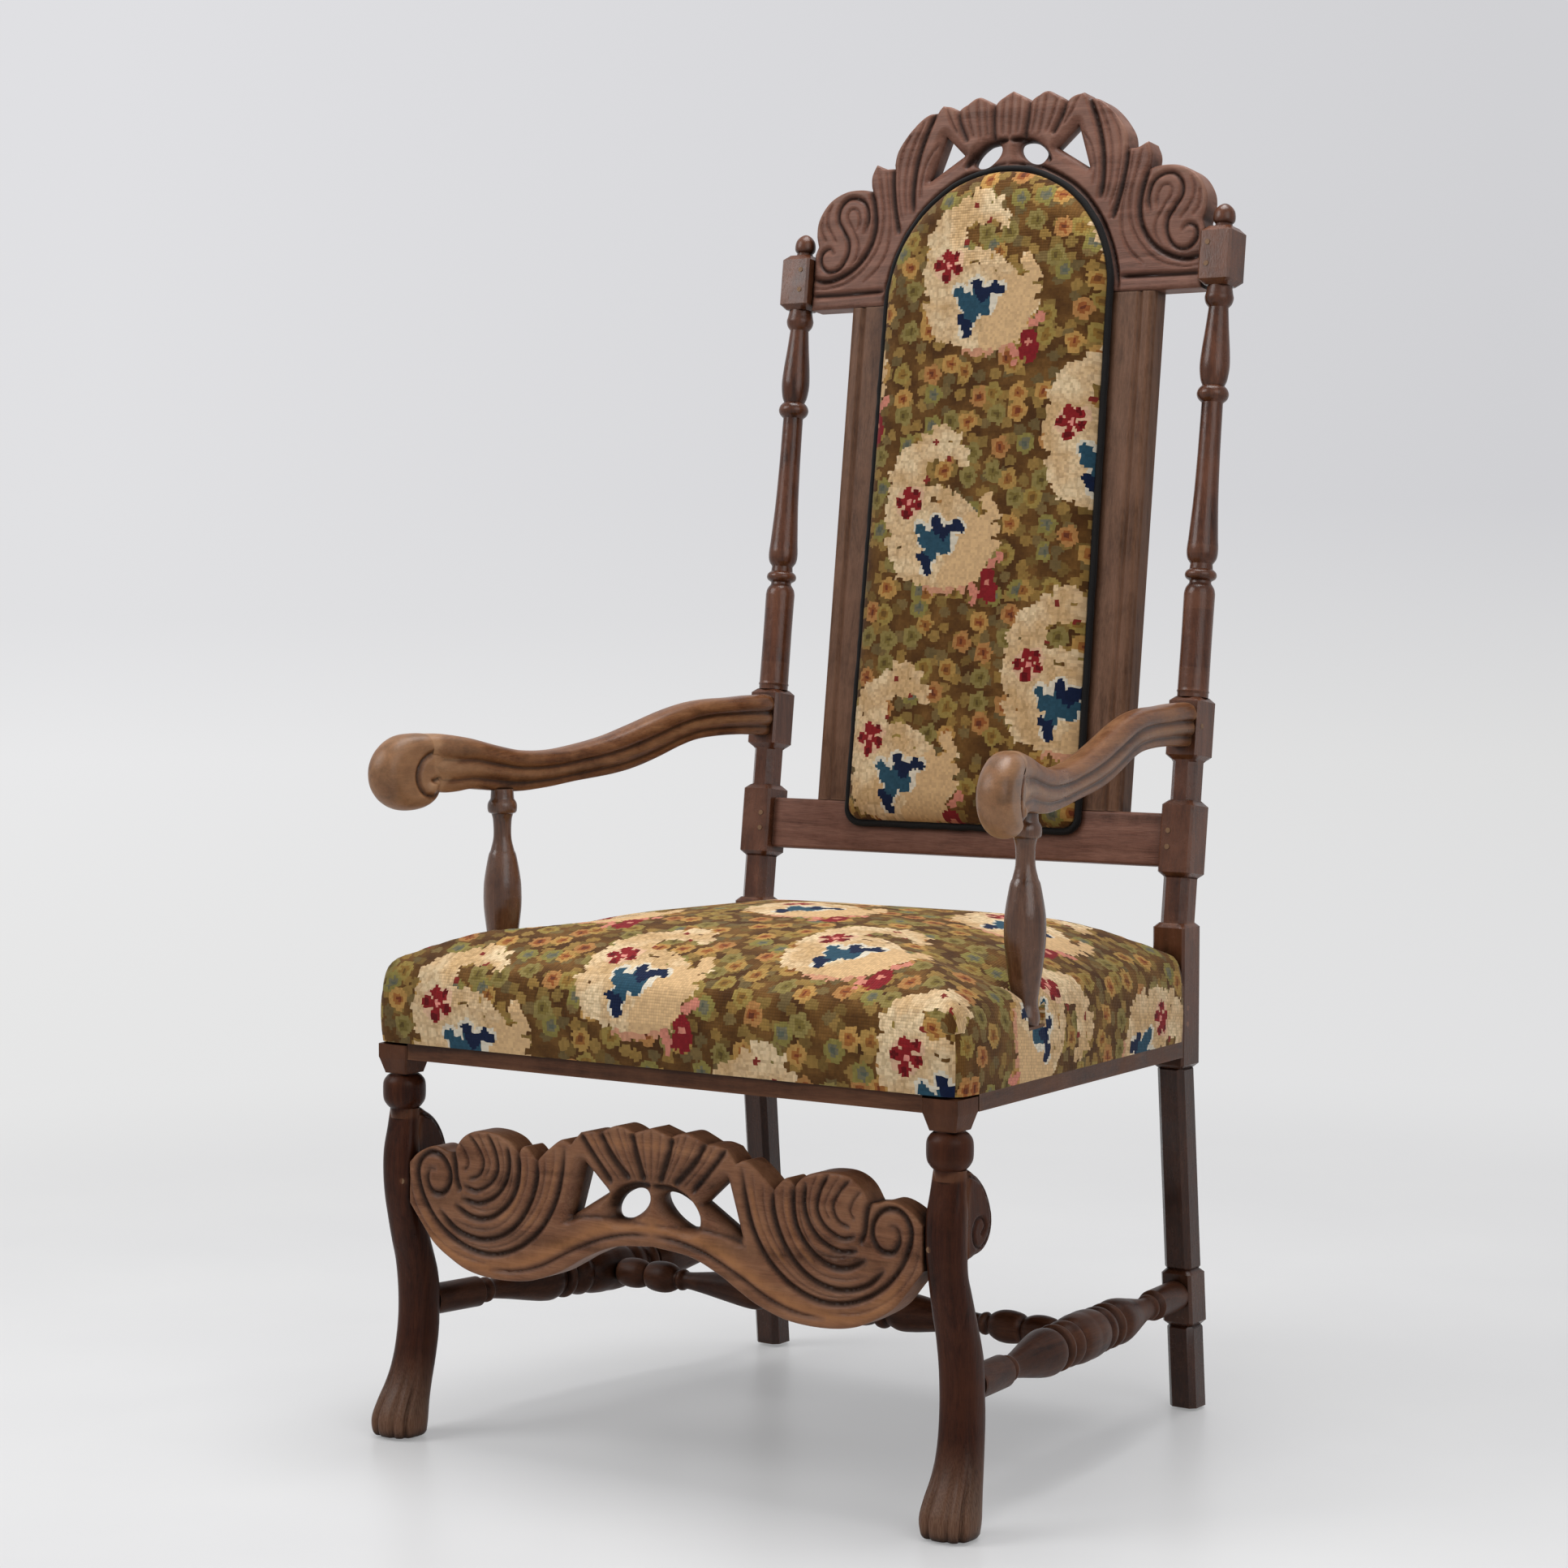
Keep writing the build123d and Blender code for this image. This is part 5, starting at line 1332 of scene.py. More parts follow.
# ---------------------------------------------------------------- arms
@dataclass
class Arms(SubAssembly):
    """Shaped arms that end in scrolls, on turned supports."""

    upper: Points = ((212, 660), (180, 659.5), (150, 658), (120, 657), (92, 654), (60, 647), (20, 635), (-15, 625),
                     (-50, 618), (-85, 613.5),
                     (-120, 614), (-150, 619.5), (-180, 627), (-208, 631.5), (-228, 632))
    under: Points = ((212, 619), (180, 620.5), (160, 621), (130, 620.5), (100, 618), (75, 612), (45, 602), (15, 593.5),
                     (-15, 588), (-60, 583),
                     (-95, 578.5), (-130, 576), (-160, 578), (-182, 580), (-198, 578), (-212, 578), (-228, 584))
    inner: Points = ((-14, 212), (-14, 190), (-5, 100), (9, 0), (20, -61), (32, -130), (43, -180), (54, -215),
                     (65, -245), (71, -280))
    outer: Points = ((14.4, 212), (14, 190), (23, 100), (38, 0), (49, -61), (62, -130), (75, -180), (87, -215),
                     (98, -245), (103, -280))
    section: Points = ((0, .5), (.2, .485), (.38, .42), (.48, .30), (.5, .2), (.46, .12), (.40, .08), (.42, .03),
                       (.46, -.05),
                       (.46, -.15), (.41, -.22), (.36, -.26), (.37, -.33), (.36, -.42), (.28, -.49), (0, -.5))
    scroll: Points = ((-205, 628), (-218, 631), (-232, 632.5), (-250, 630), (-266, 619), (-274.5, 603), (-273.5, 585),
                      (-264, 571),
                      (-249, 563), (-232, 563), (-218, 570), (-208, 583), (-198, 592), (-192, 606), (-195, 620))
    scroll_groove: Points = ((-214, 616), (-226, 615), (-236, 608), (-241, 597), (-240, 586), (-233, 577), (-222, 576),
                             (-215, 583),
                             (-218, 591), (-226, 589))
    support: tuple[Points, ...] = (
        ((12, 0), (13, 6), (12, 12)), ((12, 12), (11, 18), (11.5, 24)),
        ((11.5, 24), (14.5, 44), (17.2, 66), (17.8, 78)),
        ((17.8, 78), (17, 94), (13.2, 116), (11, 122)), ((11, 122), (8.4, 134), (8.6, 149), (10, 156)),
        ((10, 156), (13.2, 158), (13.6, 165), (11, 170)), ((11, 170), (10.4, 179)))
    support_foot: Span = (282.0, -147.0)

    def arm(self, side: int, word: str, finish: bpy.types.Material) -> None:
        """Makes an arm: its moulded length, and the scroll with a spiral on both cheeks.

        Args:
            side: 1 for the right and -1 for the left.
            word: The side's word in the piece's name.
            finish: Its material.
        """
        top, low, near, far = (smooth_line(line, 3)[::-1] for line in (self.upper, self.under, self.inner, self.outer))
        outline = mirrored(smooth_line(self.section, 0.03))
        # The two side grooves are painted dark as shade, and the bead between them is painted pale as wear and as
        # highlight.
        hollow = np.interp(outline[:, 1], (-0.36, -0.29, -0.22, -0.1, -0.02, 0.06, 0.14),
                           (0, -0.9, 0.1, 0.45, 0.1, -0.9, 0))
        hollow *= np.abs(outline[:, 0]) > 0.2

        def handled(y: np.ndarray | float) -> np.ndarray | float:
            """Gives how much paler the arm is where hands wear it."""
            return 0.6 * np.clip((-165 - y) / 65, 0, 1)

        shell = Shell()
        rings, tones = [], []
        for y in np.linspace(211, -226, 160):
            x0, x1, z0, z1 = read_off(near, y), read_off(far, y), read_off(low, y, 0), read_off(top, y, 0)
            x, z = (outline * (x1 - x0, z1 - z0) + ((x0 + x1) / 2, (z0 + z1) / 2)).T
            # The arm's end is cut to the lean of the post that it meets.
            lean = (z - ARM_TOP) * math.tan(RAKE) * np.clip((y - 150) / 61, 0, 1)
            rings.append(across(np.column_stack([POST_X + x, y + lean, z]), side))
            tones.append(handled(y) + hollow)
        shell.loft(rings, tones)
        groove = smooth_line(self.scroll_groove, 1.5)

        def cheek(points: np.ndarray, gap: np.ndarray) -> tuple[np.ndarray, np.ndarray]:
            """Swells the scroll's cheek, with its spiral groove and eye.

            Args:
                points: Points of the cheek.
                gap: Their distances to the edge.

            Returns:
                Half the scroll's thickness and the tone at each point.
            """
            bulge = 16.5 * rolled(gap, 13, 2.2) * (1 - 0.3 * np.clip((points[:, 0] + 226) / 18, 0, 1))
            cut = 2.8 * np.clip(1 - nearest(points, groove, 5)[0] / 3.6, 0, 1)
            eye = 1.8 * np.sqrt(np.clip(1 - (np.hypot(points[:, 0] + 227, points[:, 1] - 584) / 5) ** 2, 0, 1))
            # The groove's tone is lowered, painting it dark as shade, and the raised eye's is lifted, painting it pale
            # as wear and highlight.
            return np.maximum(bulge - cut + eye, 0.0), handled(points[:, 0]) - cut / 1.7 + eye / 3

        def place(p: np.ndarray, d: np.ndarray) -> np.ndarray:
            """Puts the scroll on the arm's middle line, which turns outwards."""
            x = (read_off(near, p[:, 0]) + read_off(far, p[:, 0])) / 2
            return across(np.column_stack([POST_X + x + d, p[:, 0], p[:, 1]]), side)

        shell.plate([smooth_line(self.scroll, 1.5, True)], cheek, place, None, 1.6,
                    (0.05, 0.3, 1.0, 2.2, 4.0, 6.5, 9.5))
        self.fit(shell.finish(f"scrolled_arm_{word}", 45), finish, f"arm_{word}")

    def build(self) -> None:
        """Makes and dresses the arms and their supports."""
        wood = WaxedWalnut("walnut_waxed_arm", "#361d0f", "#6b4329", "#8a6141", "#bb9470", Grain.DEEP, 0.33,
                           gloss=0.22).material()
        post = WaxedWalnut("walnut_waxed_support", "#2f1a0d", "#593723", "#704e3a", "#92705a", Grain.UPRIGHT, 0.22,
                           gloss=0.5).material()
        for side, word in SIDES:
            self.arm(side, word, wood)
            shell = Shell()
            foot = (side * self.support_foot[0], self.support_foot[1])
            shell.turn(trace(self.support), (*foot, RAIL_TOP), (*foot, RAIL_TOP + 1))
            self.fit(shell.finish(f"turned_support_{word}"), post, f"arm_support_{word}")


# ---------------------------------------------------------------- upholstery
@dataclass
class Upholstery(SubAssembly):
    """Stuffed seat and back in needlework, with piping, and the plain cloths that close them."""

    seat_profile: Points = ((0, PAD_EDGE), (1, 413.5), (4, 423), (10, 430), (21, 436), (40, 445), (66, 455), (110, 464),
                            (160, 470), (220, 474), (300, 475.6))
    hem: float = 358.0
    hem_drop: float = 9.0
    hem_run: float = 480.0
    wide: float = 307.6
    narrow: float = 254.9
    seat_front: float = -294.2
    taper: float = -259.0
    seat_side_end: float = 181.9
    seat_rear: float = 212.5
    post_gap: float = 220.9
    corner: float = 16.0
    panel_corner: float = 14.0
    support: tuple[float, float, float] = (282.0, -148.0, 16.0)
    cord: float = 3.3
    slack: float = 1.2
    flower_seat: Span = (-236.0, 395.0)
    flower_back: Span = (-46.0, 1074.5)
    # Each ring of the seat's wall: its height, how far it is cut round the arm supports, and how far it stands out.
    walls: Points = ((PAD_EDGE, 1.0, 0.0), (403.5, 0.86, 0.3), (400.4, 0.5, 0.7), (398, 0.05, 1.0), (390, 0.03, 1.5),
                     (380, 0.01, 1.6), (368, 0.0, 1.1), (358, 0.0, 0.2), (357.7, 0.0, -1.4), (364, 0.0, -2.0))

    def panel_line(self, grow: float, step: float = 2.0) -> np.ndarray:
        """Draws the arched panel's outline.

        Args:
            grow: How far outside the plain panel it runs.
            step: Distance between samples.

        Returns:
            The closed outline in x and height.
        """
        w0, w1, z0, r = PANEL_HALF + grow, PANEL_HALF - 4 + grow, PANEL_FOOT - grow, self.panel_corner
        turn = np.radians(np.linspace(0, 90, 12))
        corner = np.column_stack([w0 - r + r * np.sin(turn), z0 + r - r * np.cos(turn)])
        angles = np.radians(np.linspace(0, 90, round(w1 * 1.57 / step)))
        arch = np.column_stack([w1 * np.cos(angles), ARCH_Z + w1 * np.sin(angles)])
        return mirrored(np.vstack([smooth_line(((0, z0), corner[0]), step)[:-1], corner,
                                   smooth_line((corner[-1], arch[0]), step)[1:-1], arch]))

    def drawn(self, pad: bpy.types.Object) -> np.ndarray:
        """Gives a piece's points in the drawing."""
        return np.array([v.co for v in pad.data.vertices]) * 1000 + (0, MIDDLE, 0)

    def back_pad(self, finish: bpy.types.Material) -> None:
        """Makes the stuffed back panel with its cover.

        Args:
            finish: Its material.
        """

        def swell(points: np.ndarray, gap: np.ndarray) -> tuple[np.ndarray, np.ndarray]:
            """Gives how far the stuffing stands out, rolled at its edge."""
            crown = 2.5 * (1 - np.clip(np.abs(points[:, 0]) / PANEL_HALF, 0, 1) ** 2) * np.clip(gap / 30, 0, 1)
            return FRAME_FRONT + 1.5 + 18.5 * rolled(gap, 30, 2.3) + crown, np.zeros(len(points))

        shell = Shell()
        shell.plate([self.panel_line(0.6)], swell, on_back, FRAME_FRONT, 4.0,
                    (0.1, 0.5, 1.4, 3.0, 5.5, 9.0, 13.5, 19.0))
        pad = shell.finish("stuffed_back", 60)
        gap = nearest(self.drawn(pad)[:, [0, 2]] / (1, math.cos(RAKE)), self.panel_line(0.0))[0]
        self.settle(pad, np.clip((gap - 9) / 40, 0, 1), 4.0, 5.0)
        points = self.drawn(pad)
        up = (points[:, 1] - POST_Y) * math.sin(RAKE) + (points[:, 2] - RAKE_Z) * math.cos(RAKE)
        spots = (np.column_stack([points[:, 0], RAKE_Z + up * math.cos(RAKE)]) - self.flower_back) * 0.001
        layer = pad.data.uv_layers.new(name="cloth")
        for loop in pad.data.loops:
            layer.data[loop.index].uv = spots[loop.vertex_index]
        self.fit(pad, finish, "back_cover", "back_stuffing", "back_canvas", "back_webbing", slot="needlepoint_wool")

    def piping_tree(self) -> bpy.types.GeometryNodeTree:
        """Builds the tree that lays a covered cord along a closed path.

        Returns:
            The tree. Its inputs are the path, the cord's radius, its facets, how far it wanders, and its cloth.
        """
        tree = bpy.data.node_groups.new("covered_cord", "GeometryNodeTree")
        for label, kind in (("Path", "Geometry"), ("Cord Radius", "Float"), ("Cord Facets", "Int"),
                            ("Slackness", "Float"), ("Cloth", "Material")):
            tree.interface.new_socket(label, in_out="INPUT", socket_type="NodeSocket" + kind)
        tree.interface.new_socket("Piping", in_out="OUTPUT", socket_type="NodeSocketGeometry")
        given = add_node(tree, "NodeGroupInput").outputs
        # The cord was pulled round by hand, so it wanders by a fraction of a millimetre.
        loose = add_node(tree, "FunctionNodeRandomValue", {"data_type": "FLOAT_VECTOR"},
                         {"Min": (-1.0, 0.0, -1.0), "Max": (1.0, 0.0, 1.0), "Seed": 7}).outputs[0]
        loose = add_node(tree, "GeometryNodeBlurAttribute", {"data_type": "FLOAT_VECTOR"},
                         {"Value": vector(tree, "SCALE", loose, Scale=given["Slackness"]), "Iterations": 6}).outputs[0]
        ring_line = add_node(tree, "GeometryNodeCurvePrimitiveCircle", {},
                             {"Resolution": given["Cord Facets"], "Radius": given["Cord Radius"]}).outputs[0]
        cord = given["Path"]
        for kind, name, more in (("MeshToCurve", "Mesh", {}), ("SetPosition", "Geometry", {"Offset": loose}),
                                 ("CurveToMesh", "Curve", {"Profile Curve": ring_line}),
                                 ("RealizeInstances", "Geometry", {}),
                                 ("SetMaterial", "Geometry", {"Material": given["Cloth"]})):
            cord = add_node(tree, "GeometryNode" + kind, {}, {name: cord} | more).outputs[0]
        add_node(tree, "NodeGroupOutput", {}, {0: cord})
        return tree

    def welt(self, finish: bpy.types.Material) -> None:
        """Lays the piping round the back panel.

        Args:
            finish: Its material.
        """
        line = self.panel_line(3.4, 2.5)
        points = (on_back(line, np.full(len(line), FRAME_FRONT + self.cord)) - (0, MIDDLE, 0)) * 0.001
        path = bpy.data.meshes.new("piping_path")
        path.from_pydata(points.tolist(), [(i, (i + 1) % len(line)) for i in range(len(line))], [])
        holder = new_object("piping_path", path)
        lay = holder.modifiers.new("piping", "NODES")
        lay.node_group = self.piping_tree()
        given = {"Cord Radius": self.cord * 0.001, "Cord Facets": 14, "Slackness": self.slack * 0.001, "Cloth": finish}
        for socket in lay.node_group.interface.items_tree:
            if socket.in_out == "INPUT" and socket.name in given:
                lay[socket.identifier] = given[socket.name]
        mesh = bpy.data.meshes.new_from_object(holder.evaluated_get(bpy.context.evaluated_depsgraph_get()))
        bpy.data.objects.remove(holder)
        mesh.shade_smooth()
        self.fit(new_object("back_piping", mesh), finish, "back_welt", slot="black_piping")

    def settle(self, pad: bpy.types.Object, free: np.ndarray, push: float, most: float) -> None:
        """Lets a cover stretch over its stuffing as cloth, held where it is nailed.

        Args:
            pad: The stuffed piece.
            free: How free each point is, from 0 where it is nailed to 1.
            push: How hard the stuffing presses.
            most: The farthest that a point may move, in millimetres.
        """
        scene = bpy.context.scene
        rest = np.array([v.co for v in pad.data.vertices])
        nailed = pad.vertex_groups.new(name="nailed")
        for index, part in enumerate(free):
            nailed.add([index], float(1 - part), "REPLACE")
        cover = pad.modifiers.new("cover", "CLOTH")
        cover.settings.vertex_group_mass = nailed.name
        cover.settings.quality, cover.settings.mass = 6, 0.4
        cover.settings.tension_stiffness = cover.settings.compression_stiffness = 40.0
        cover.settings.shear_stiffness, cover.settings.bending_stiffness = 20.0, 3.0
        cover.settings.use_pressure, cover.settings.uniform_pressure_force = True, push
        cover.settings.effector_weights.gravity = 0.0
        cover.point_cache.frame_start, cover.point_cache.frame_end = 1, 20
        for step in range(1, 21):
            scene.frame_set(step)
        held = pad.evaluated_get(bpy.context.evaluated_depsgraph_get()).data
        shift = (np.array([v.co for v in held.vertices]) - rest) * free[:, None]
        far = np.linalg.norm(shift, axis=1)
        pad.modifiers.remove(cover)
        pad.vertex_groups.remove(nailed)
        scene.frame_set(1)
        shift *= np.minimum(1, most * 0.001 / np.maximum(far, 1e-9))[:, None]
        pad.data.vertices.foreach_set("co", (rest + shift).ravel())
        pad.data.update()
        log.info("%s: cover settled by up to %.1f mm", pad.name, min(far.max() * 1000, most))

    def flank(self, y: np.ndarray | float) -> np.ndarray | float:
        """Gives the side wall's x, which tapers towards the rear."""
        slope = (self.wide - self.narrow) / (self.seat_side_end - self.taper)
        return self.wide - slope * np.maximum(y - self.taper, 0)

    def seat_line(self, notch: float, bulge: float) -> np.ndarray:
        """Draws the seat's plan.

        Args:
            notch: How far the cloth is cut back round the arm supports, from 0 to 1.
            bulge: How far the sides stand out.

        Returns:
            The closed outline in x and y.
        """

        def wall(*ys: float) -> np.ndarray:
            """Gives points of the side wall."""
            return np.column_stack([self.flank(np.array(ys)) + bulge, ys])

        r, w0, y0, y1 = self.corner, self.wide + bulge, self.seat_front - bulge, self.seat_side_end
        turn = np.radians(np.linspace(0, 83, 14))
        corner = np.column_stack([w0 - r + r * np.sin(turn), y0 + r - r * np.cos(turn)])
        front = np.column_stack([np.linspace(0, w0 - r, 48, endpoint=False), np.full(48, y0)])
        cx, cy, cut = self.support
        around = np.radians(np.linspace(90, 270, 25))
        circle = np.column_stack([cx + cut * np.cos(around), cy - cut * np.sin(around)])
        plain = wall(*np.linspace(cy - cut, cy + cut, 25))
        gap, end = self.post_gap, self.seat_rear
        rear = [(self.narrow + bulge - 4, y1), (gap + 4, y1), (gap, y1 + 3), (gap, end - 6), (gap - 6, end)]
        close = np.column_stack([np.linspace(gap - 6, 0, 37)[1:], np.full(36, end)])
        return mirrored(np.vstack([
            front, corner, wall(*np.linspace(corner[-1, 1] + 4, cy - cut - 5, 20)), wall(cy - cut - 1.5),
            plain + (circle - plain) * notch, wall(cy + cut + 1.5), wall(*np.linspace(cy + cut + 5, y1 - 4, 58)),
            rear, close]))

    def seat_pad(self, finish: bpy.types.Material) -> None:
        """Makes the stuffed seat with its cover, which hangs over the rails and is cut round the arm supports.

        Args:
            finish: Its material.
        """
        profile, plain = smooth_line(self.seat_profile, 1.0), self.seat_line(1.0, 0.0)
        shell = Shell()
        shell.relief([plain], lambda p, gap: (read_off(profile, gap, 0), np.zeros(len(p))),
                     lambda p, d: np.column_stack([p, d]), 7.0, (0.3, 1.0, 2.3, 4.5, 8.0, 13.0, 20.0))
        rings = []
        for z, notch, bulge in self.walls:
            plan = self.seat_line(notch, bulge)
            # At the rear the hem is turned up inside the wall, so the two never share a place.
            plan[plan[:, 1] > self.seat_rear - 1, 1] += min(bulge, 0.0)
            rear = np.clip((plan[:, 1] - self.seat_front) / self.hem_run, 0, 1)
            rings.append(np.column_stack([plan, z - self.hem_drop * rear * np.clip((PAD_EDGE - z) / 50, 0, 1)]))
        r, n = len(rings), len(plain)
        shell.add(np.vstack(rings), [*bands(r, n), [(r - 1) * n + j for j in range(n)]])
        pad = shell.finish("stuffed_seat", 60)
        points = self.drawn(pad)
        gap = nearest(points[:, :2], plain)[0]
        self.settle(pad, np.clip((gap - 6) / 60, 0, 1) * (points[:, 2] > PAD_EDGE + 7), 4.0, 6.0)
        self.seat_uv(pad, profile)
        self.fit(pad, finish, "seat_cover", "seat_stuffing", "seat_hessian", "seat_webbing", slot="needlepoint_wool")

    def seat_uv(self, pad: bpy.types.Object, profile: np.ndarray) -> None:
        """Lays the needlework over the seat as one cloth that turns down at its edges.

        Args:
            pad: The seat.
            profile: The seat's height against the distance from its edge.
        """
        mesh = pad.data
        layer = mesh.uv_layers.new(name="cloth")
        fall = PAD_EDGE - self.hem
        arc = np.concatenate([[0], np.cumsum(np.linalg.norm(np.diff(profile, axis=0), axis=1))]) + fall
        last = profile[-1, 0]
        ox, oz = self.flower_seat
        for poly in mesh.polygons:
            n = poly.normal
            for index in poly.loop_indices:
                p = mesh.vertices[mesh.loops[index].vertex_index].co * 1000
                y = p.y + MIDDLE
                sign, wide = (1 if p.x > 0 else -1), float(self.flank(y))
                inward = np.maximum([y - self.seat_front, wide - abs(p.x)], 0.0)
                a_front, a_side = np.interp(inward, profile[:, 0], arc) + np.maximum(inward - last, 0.0)
                edge = wide + arc[-1] - last
                u, v = sign * (edge - a_side), self.hem + a_front
                if p.z < PAD_EDGE + 0.2 and n.z < 0.5:
                    if abs(n.y) > abs(n.x):
                        u, v = p.x, p.z if n.y < 0 else v + PAD_EDGE - p.z
                    else:
                        u = sign * (edge - (p.z - self.hem))
                layer.data[index].uv = ((u - ox) * 0.001, (v - oz) * 0.001)

    def sheets(self, black: bpy.types.Material, linen: bpy.types.Material) -> None:
        """Makes the bottom cloth under the seat and the cloth on the back's outside.

        Args:
            black: The bottom cloth's material.
            linen: The outside cloth's material.
        """
        # The bottom cloth narrows and falls towards the rear with the rails, and sags by 1.2 mm in its middle.
        count, s = 24, np.linspace(-1, 1, 24)
        rows = []
        for t in np.linspace(0, 1, count):
            y, half = -255 + t * 433.5, 287 - t * 51.5
            z = RAIL_LOW - 1 - self.hem_drop * (y - self.taper) / 441.5
            rows.append(np.column_stack([s * half, np.full(count, y), z - 1.2 * math.sin(math.pi * t) * (1 - s**2)]))
        cloth = Shell()
        cloth.add(np.vstack(rows), [face[::-1] for face in bands(count, count, False)])
        sheet = cloth.finish("under_seat_cloth")
        self.fit(sheet, black, "seat_bottom_cloth", slot="black_bottom_cloth")
        line = self.panel_line(0.0, 6.0)
        grid = np.array([(x, z) for x in np.arange(-120, 121, 12.0) for z in np.arange(545, 1160, 12.0)])
        grid = grid[within(grid, [line]) & (nearest(grid, looped(line))[0] > 4)]
        flat, tris = fill([line], grid)
        outside = Shell()
        outside.add(on_back(flat, np.full(len(flat), FRAME_REAR - 0.6)), tris)
        back = outside.finish("outside_back_cloth")
        self.fit(back, linen, "back_outside_cover", slot="back_linen")

    def build(self) -> None:
        """Makes and dresses the upholstery."""
        wool = Needlework().material()
        black = PlainWeave("glazed_cotton_black", "#0d0a09", "#040303", 0.8).material()
        linen = PlainWeave("linen_unbleached", "#a08d68", "#8a7855").material()
        self.back_pad(wool)
        self.welt(black)
        self.seat_pad(wool)
        self.sheets(black, linen)


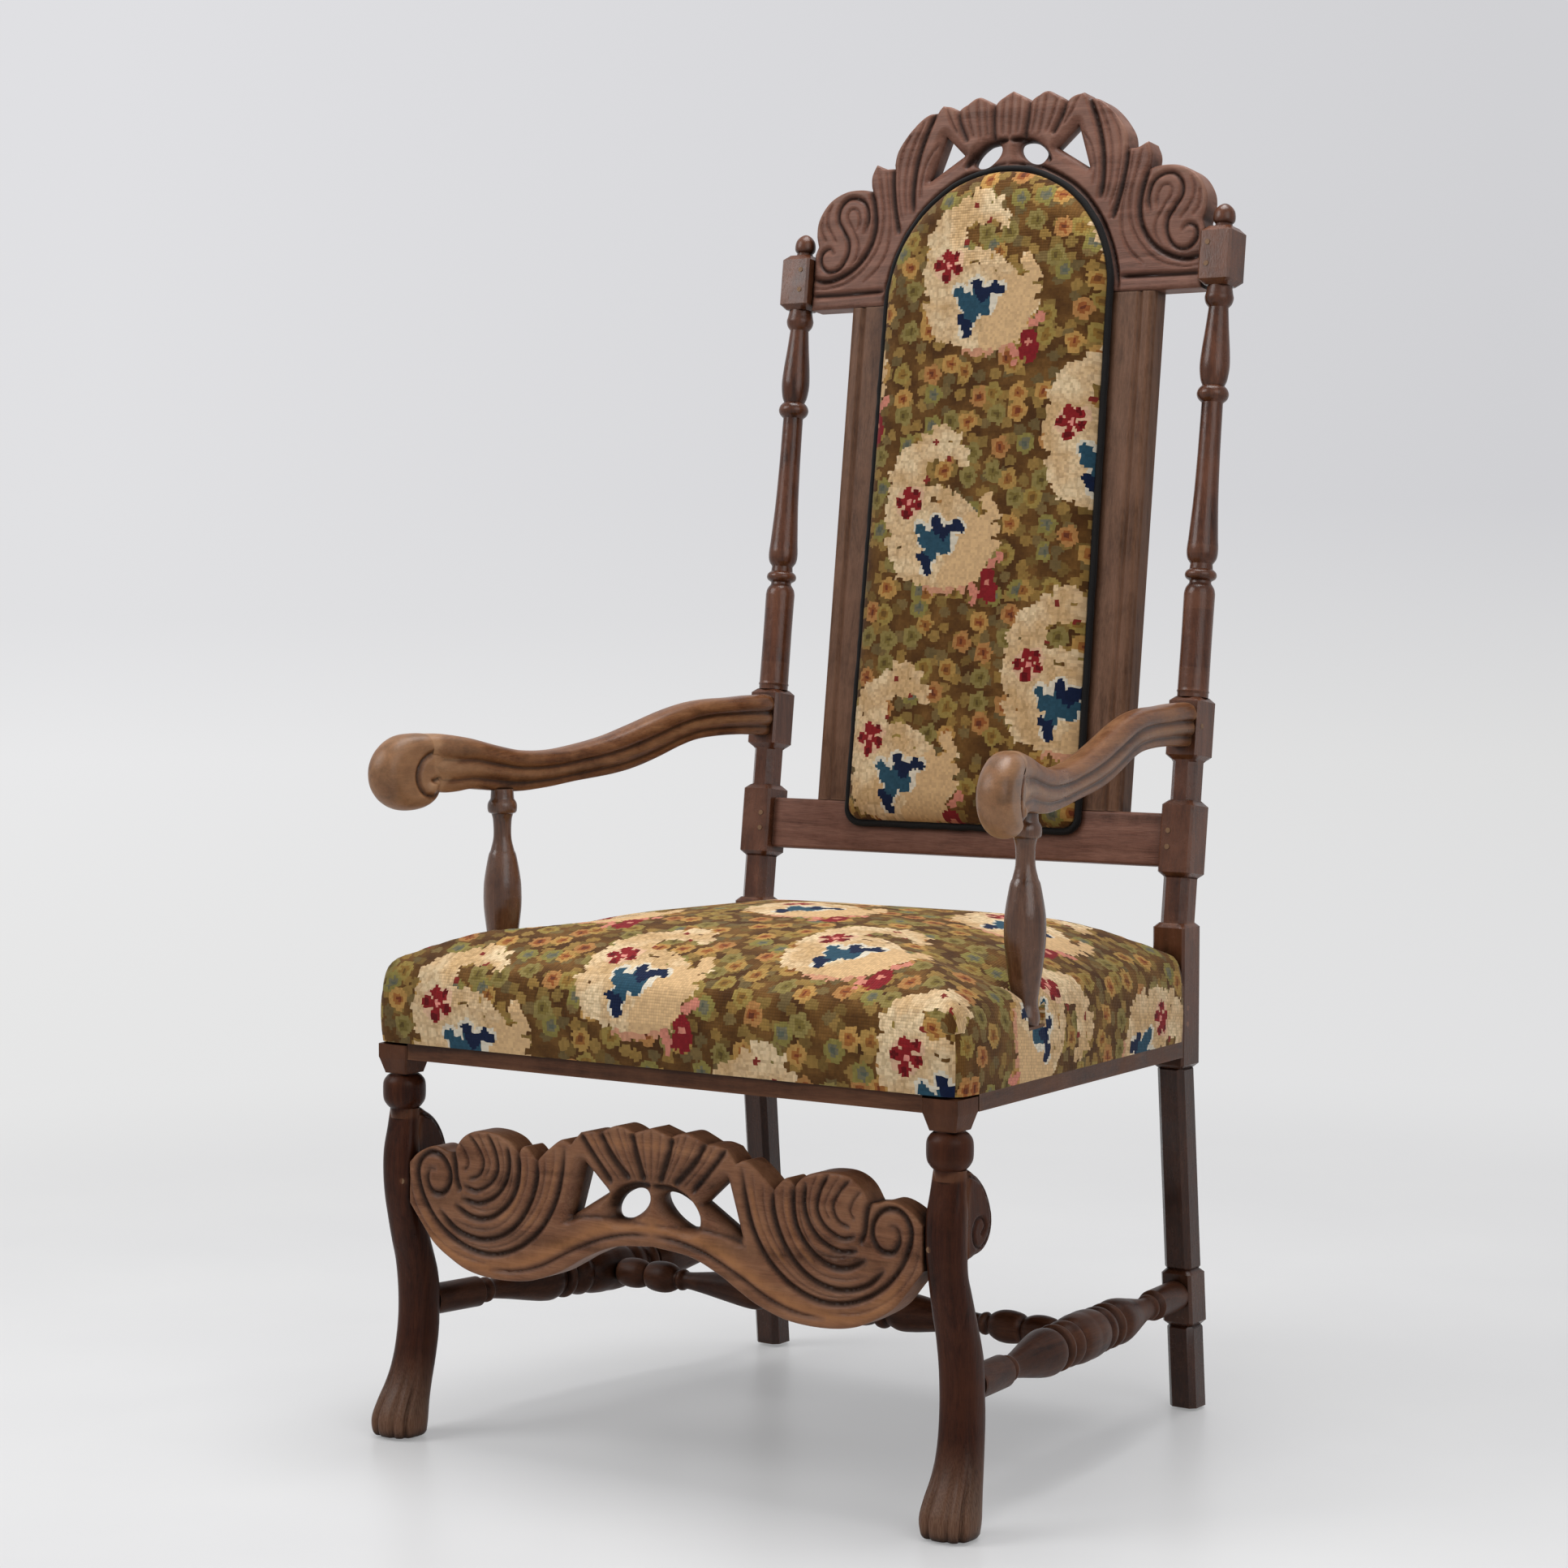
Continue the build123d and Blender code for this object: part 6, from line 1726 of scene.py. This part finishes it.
# ---------------------------------------------------------------- studio
@dataclass
class Studio:
    """Plain pale sweep, soft lamps and the camera."""

    camera_place: tuple[float, float, float] = (1.7168, -2.55555, 0.7489)
    yaw: float = 34.996
    pitch: float = 3.036
    roll: float = -0.056
    lens_pixels: float = 4144.2
    frame_pixels: float = 1932.0
    # The sweep's side view: distance beyond the chair, and height.
    run: Points = ((-9000, 0), (-2000, 0), (2500, 0), (3600, 60), (4500, 400), (5000, 1200), (5200, 2500), (5250, 6000))
    lamps: tuple[tuple, ...] = (("key", (-2.5, -2.6, 3.0), 2.2, 82.0), ("fill", (3.2, -1.6, 2.2), 2.8, 48.0),
                                ("top", (0.1, 0.2, 3.2), 1.6, 72.0))

    def camera(self) -> None:
        """Adds the camera."""
        data = bpy.data.cameras.new("camera")
        data.sensor_fit, data.sensor_width = "HORIZONTAL", 36.0
        data.lens = 36.0 * self.lens_pixels / self.frame_pixels
        data.shift_x, data.clip_end = 0.00095, 50.0
        obj = new_object("camera", data)
        obj.location = self.camera_place
        obj.rotation_euler = [math.radians(angle) for angle in (90 - self.pitch, self.roll, self.yaw)]
        bpy.context.scene.camera = obj

    def seen(self, tree: Tree) -> Socket:
        """Adds nodes that tell the eye's, shine's and glass's rays from those that light the chair.

        Args:
            tree: The tree that gets them.

        Returns:
            A socket that is 1 for those rays.
        """
        rays = add_node(tree, "ShaderNodeLightPath").outputs
        both = number(tree, "MAXIMUM", rays["Is Camera Ray"], rays["Is Glossy Ray"])
        return number(tree, "MAXIMUM", both, rays["Is Transmission Ray"])

    def sweep(self) -> None:
        """Adds the floor, which curves up far behind the chair."""
        yaw = math.radians(self.yaw)
        ahead, side = np.array((-math.sin(yaw), math.cos(yaw), 0.0)), np.array((math.cos(yaw), math.sin(yaw), 0.0))
        line, widths = smooth_line(self.run, 150), (-9000, -3000, 0, 3000, 9000)
        shell = Shell()
        shell.add(np.array([ahead * along + side * s + (0, 0, up) for along, up in line for s in widths]),
                  bands(len(line), len(widths), False))
        floor = shell.finish("studio_sweep", 80)
        material, tree = new_material("matt_paper_sweep")
        place = add_node(tree, "ShaderNodeTexCoord").outputs["Object"]
        tone = ramped(tree, noise(tree, place, 2.5, 4.0)[0], (0.3, "#d7d7d8"), (0.7, "#dddddd"))
        near = add_node(tree, "ShaderNodeBsdfPrincipled", {},
                        {"Base Color": tone, "Roughness": 0.34, "IOR": 1.45, "Specular IOR Level": 0.4}).outputs[0]
        # Far from the chair the eye and the shine meet a glow of painted light, lighter to the left and low down,
        # darker to the right and higher up, as lamps would fall on the paper; near it, the paper takes light and shadow
        # with three tenths of that glow.
        height = number(tree, "MULTIPLY", parts(tree, place)[2], 0.5)
        left = ramped(tree, height, (0.0, "#e7e7e7"), (0.2, "#e9e9ea"), (0.36, "#e1e1e3"), (0.95, "#e0e0e3"))
        right = ramped(tree, height, (0.0, "#e0e0e1"), (0.2, "#dedede"), (0.5, "#d0d0d3"), (0.95, "#d1d1d4"))
        aside = mapped(tree, vector(tree, "DOT_PRODUCT", place, side), (-1.7, 1.7))
        far = add_node(tree, "ShaderNodeEmission", {}, {"Color": mixed(tree, aside, left, right)}).outputs[0]
        reach = mapped(tree, vector(tree, "LENGTH", place), (0.9, 2.4), (0.3, 1.0), "SMOOTHSTEP")
        shown = number(tree, "MULTIPLY", self.seen(tree), reach)
        shader = add_node(tree, "ShaderNodeMixShader", {}, {0: shown, 1: near, 2: far})
        add_node(tree, "ShaderNodeOutputMaterial", {}, {"Surface": shader.outputs[0]})
        dress(floor, material)

    def lamp(self, name: str, place: tuple[float, float, float], size: float, watts: float) -> None:
        """Adds a square soft lamp that points at the chair's middle.

        Args:
            name: The lamp's name.
            place: Where it hangs, in metres.
            size: Its side in metres.
            watts: Its power.
        """
        data = bpy.data.lights.new(name, "AREA")
        data.shape, data.size, data.energy = "SQUARE", size, watts
        obj = new_object(name, data)
        obj.location = place
        obj.rotation_euler = (Vector((0, 0, 0.6)) - Vector(place)).to_track_quat("-Z", "Y").to_euler()

    def build(self) -> None:
        """Adds camera, floor, lamps and the plain world."""
        self.camera()
        self.sweep()
        for lamp in self.lamps:
            self.lamp(*lamp)
        world = bpy.data.worlds.new("studio")
        bpy.context.scene.world = world
        world.use_nodes = True
        tree = world.node_tree
        tree.nodes.clear()
        light, shown = (add_node(tree, "ShaderNodeBackground", {}, {"Color": code, "Strength": strength}).outputs[0]
                        for code, strength in (("#f4f4f6", 0.24), ("#dadadd", 1.0)))
        both = add_node(tree, "ShaderNodeMixShader", {}, {0: self.seen(tree), 1: light, 2: shown})
        add_node(tree, "ShaderNodeOutputWorld", {}, {"Surface": both.outputs[0]})
        bpy.context.scene.view_settings.view_transform = "Standard"


def main() -> None:
    """Builds the chair and the studio in order."""
    logging.basicConfig(level=logging.INFO, format="%(name)s: %(message)s")
    Studio().build()
    for part in (BackFrame(), SeatFrame(), Stretchers(), Arms(), Upholstery()):
        part.build()
        log.info("%s: %s", type(part).__name__, ", ".join(part.made))


if __name__ == "__main__":
    main()
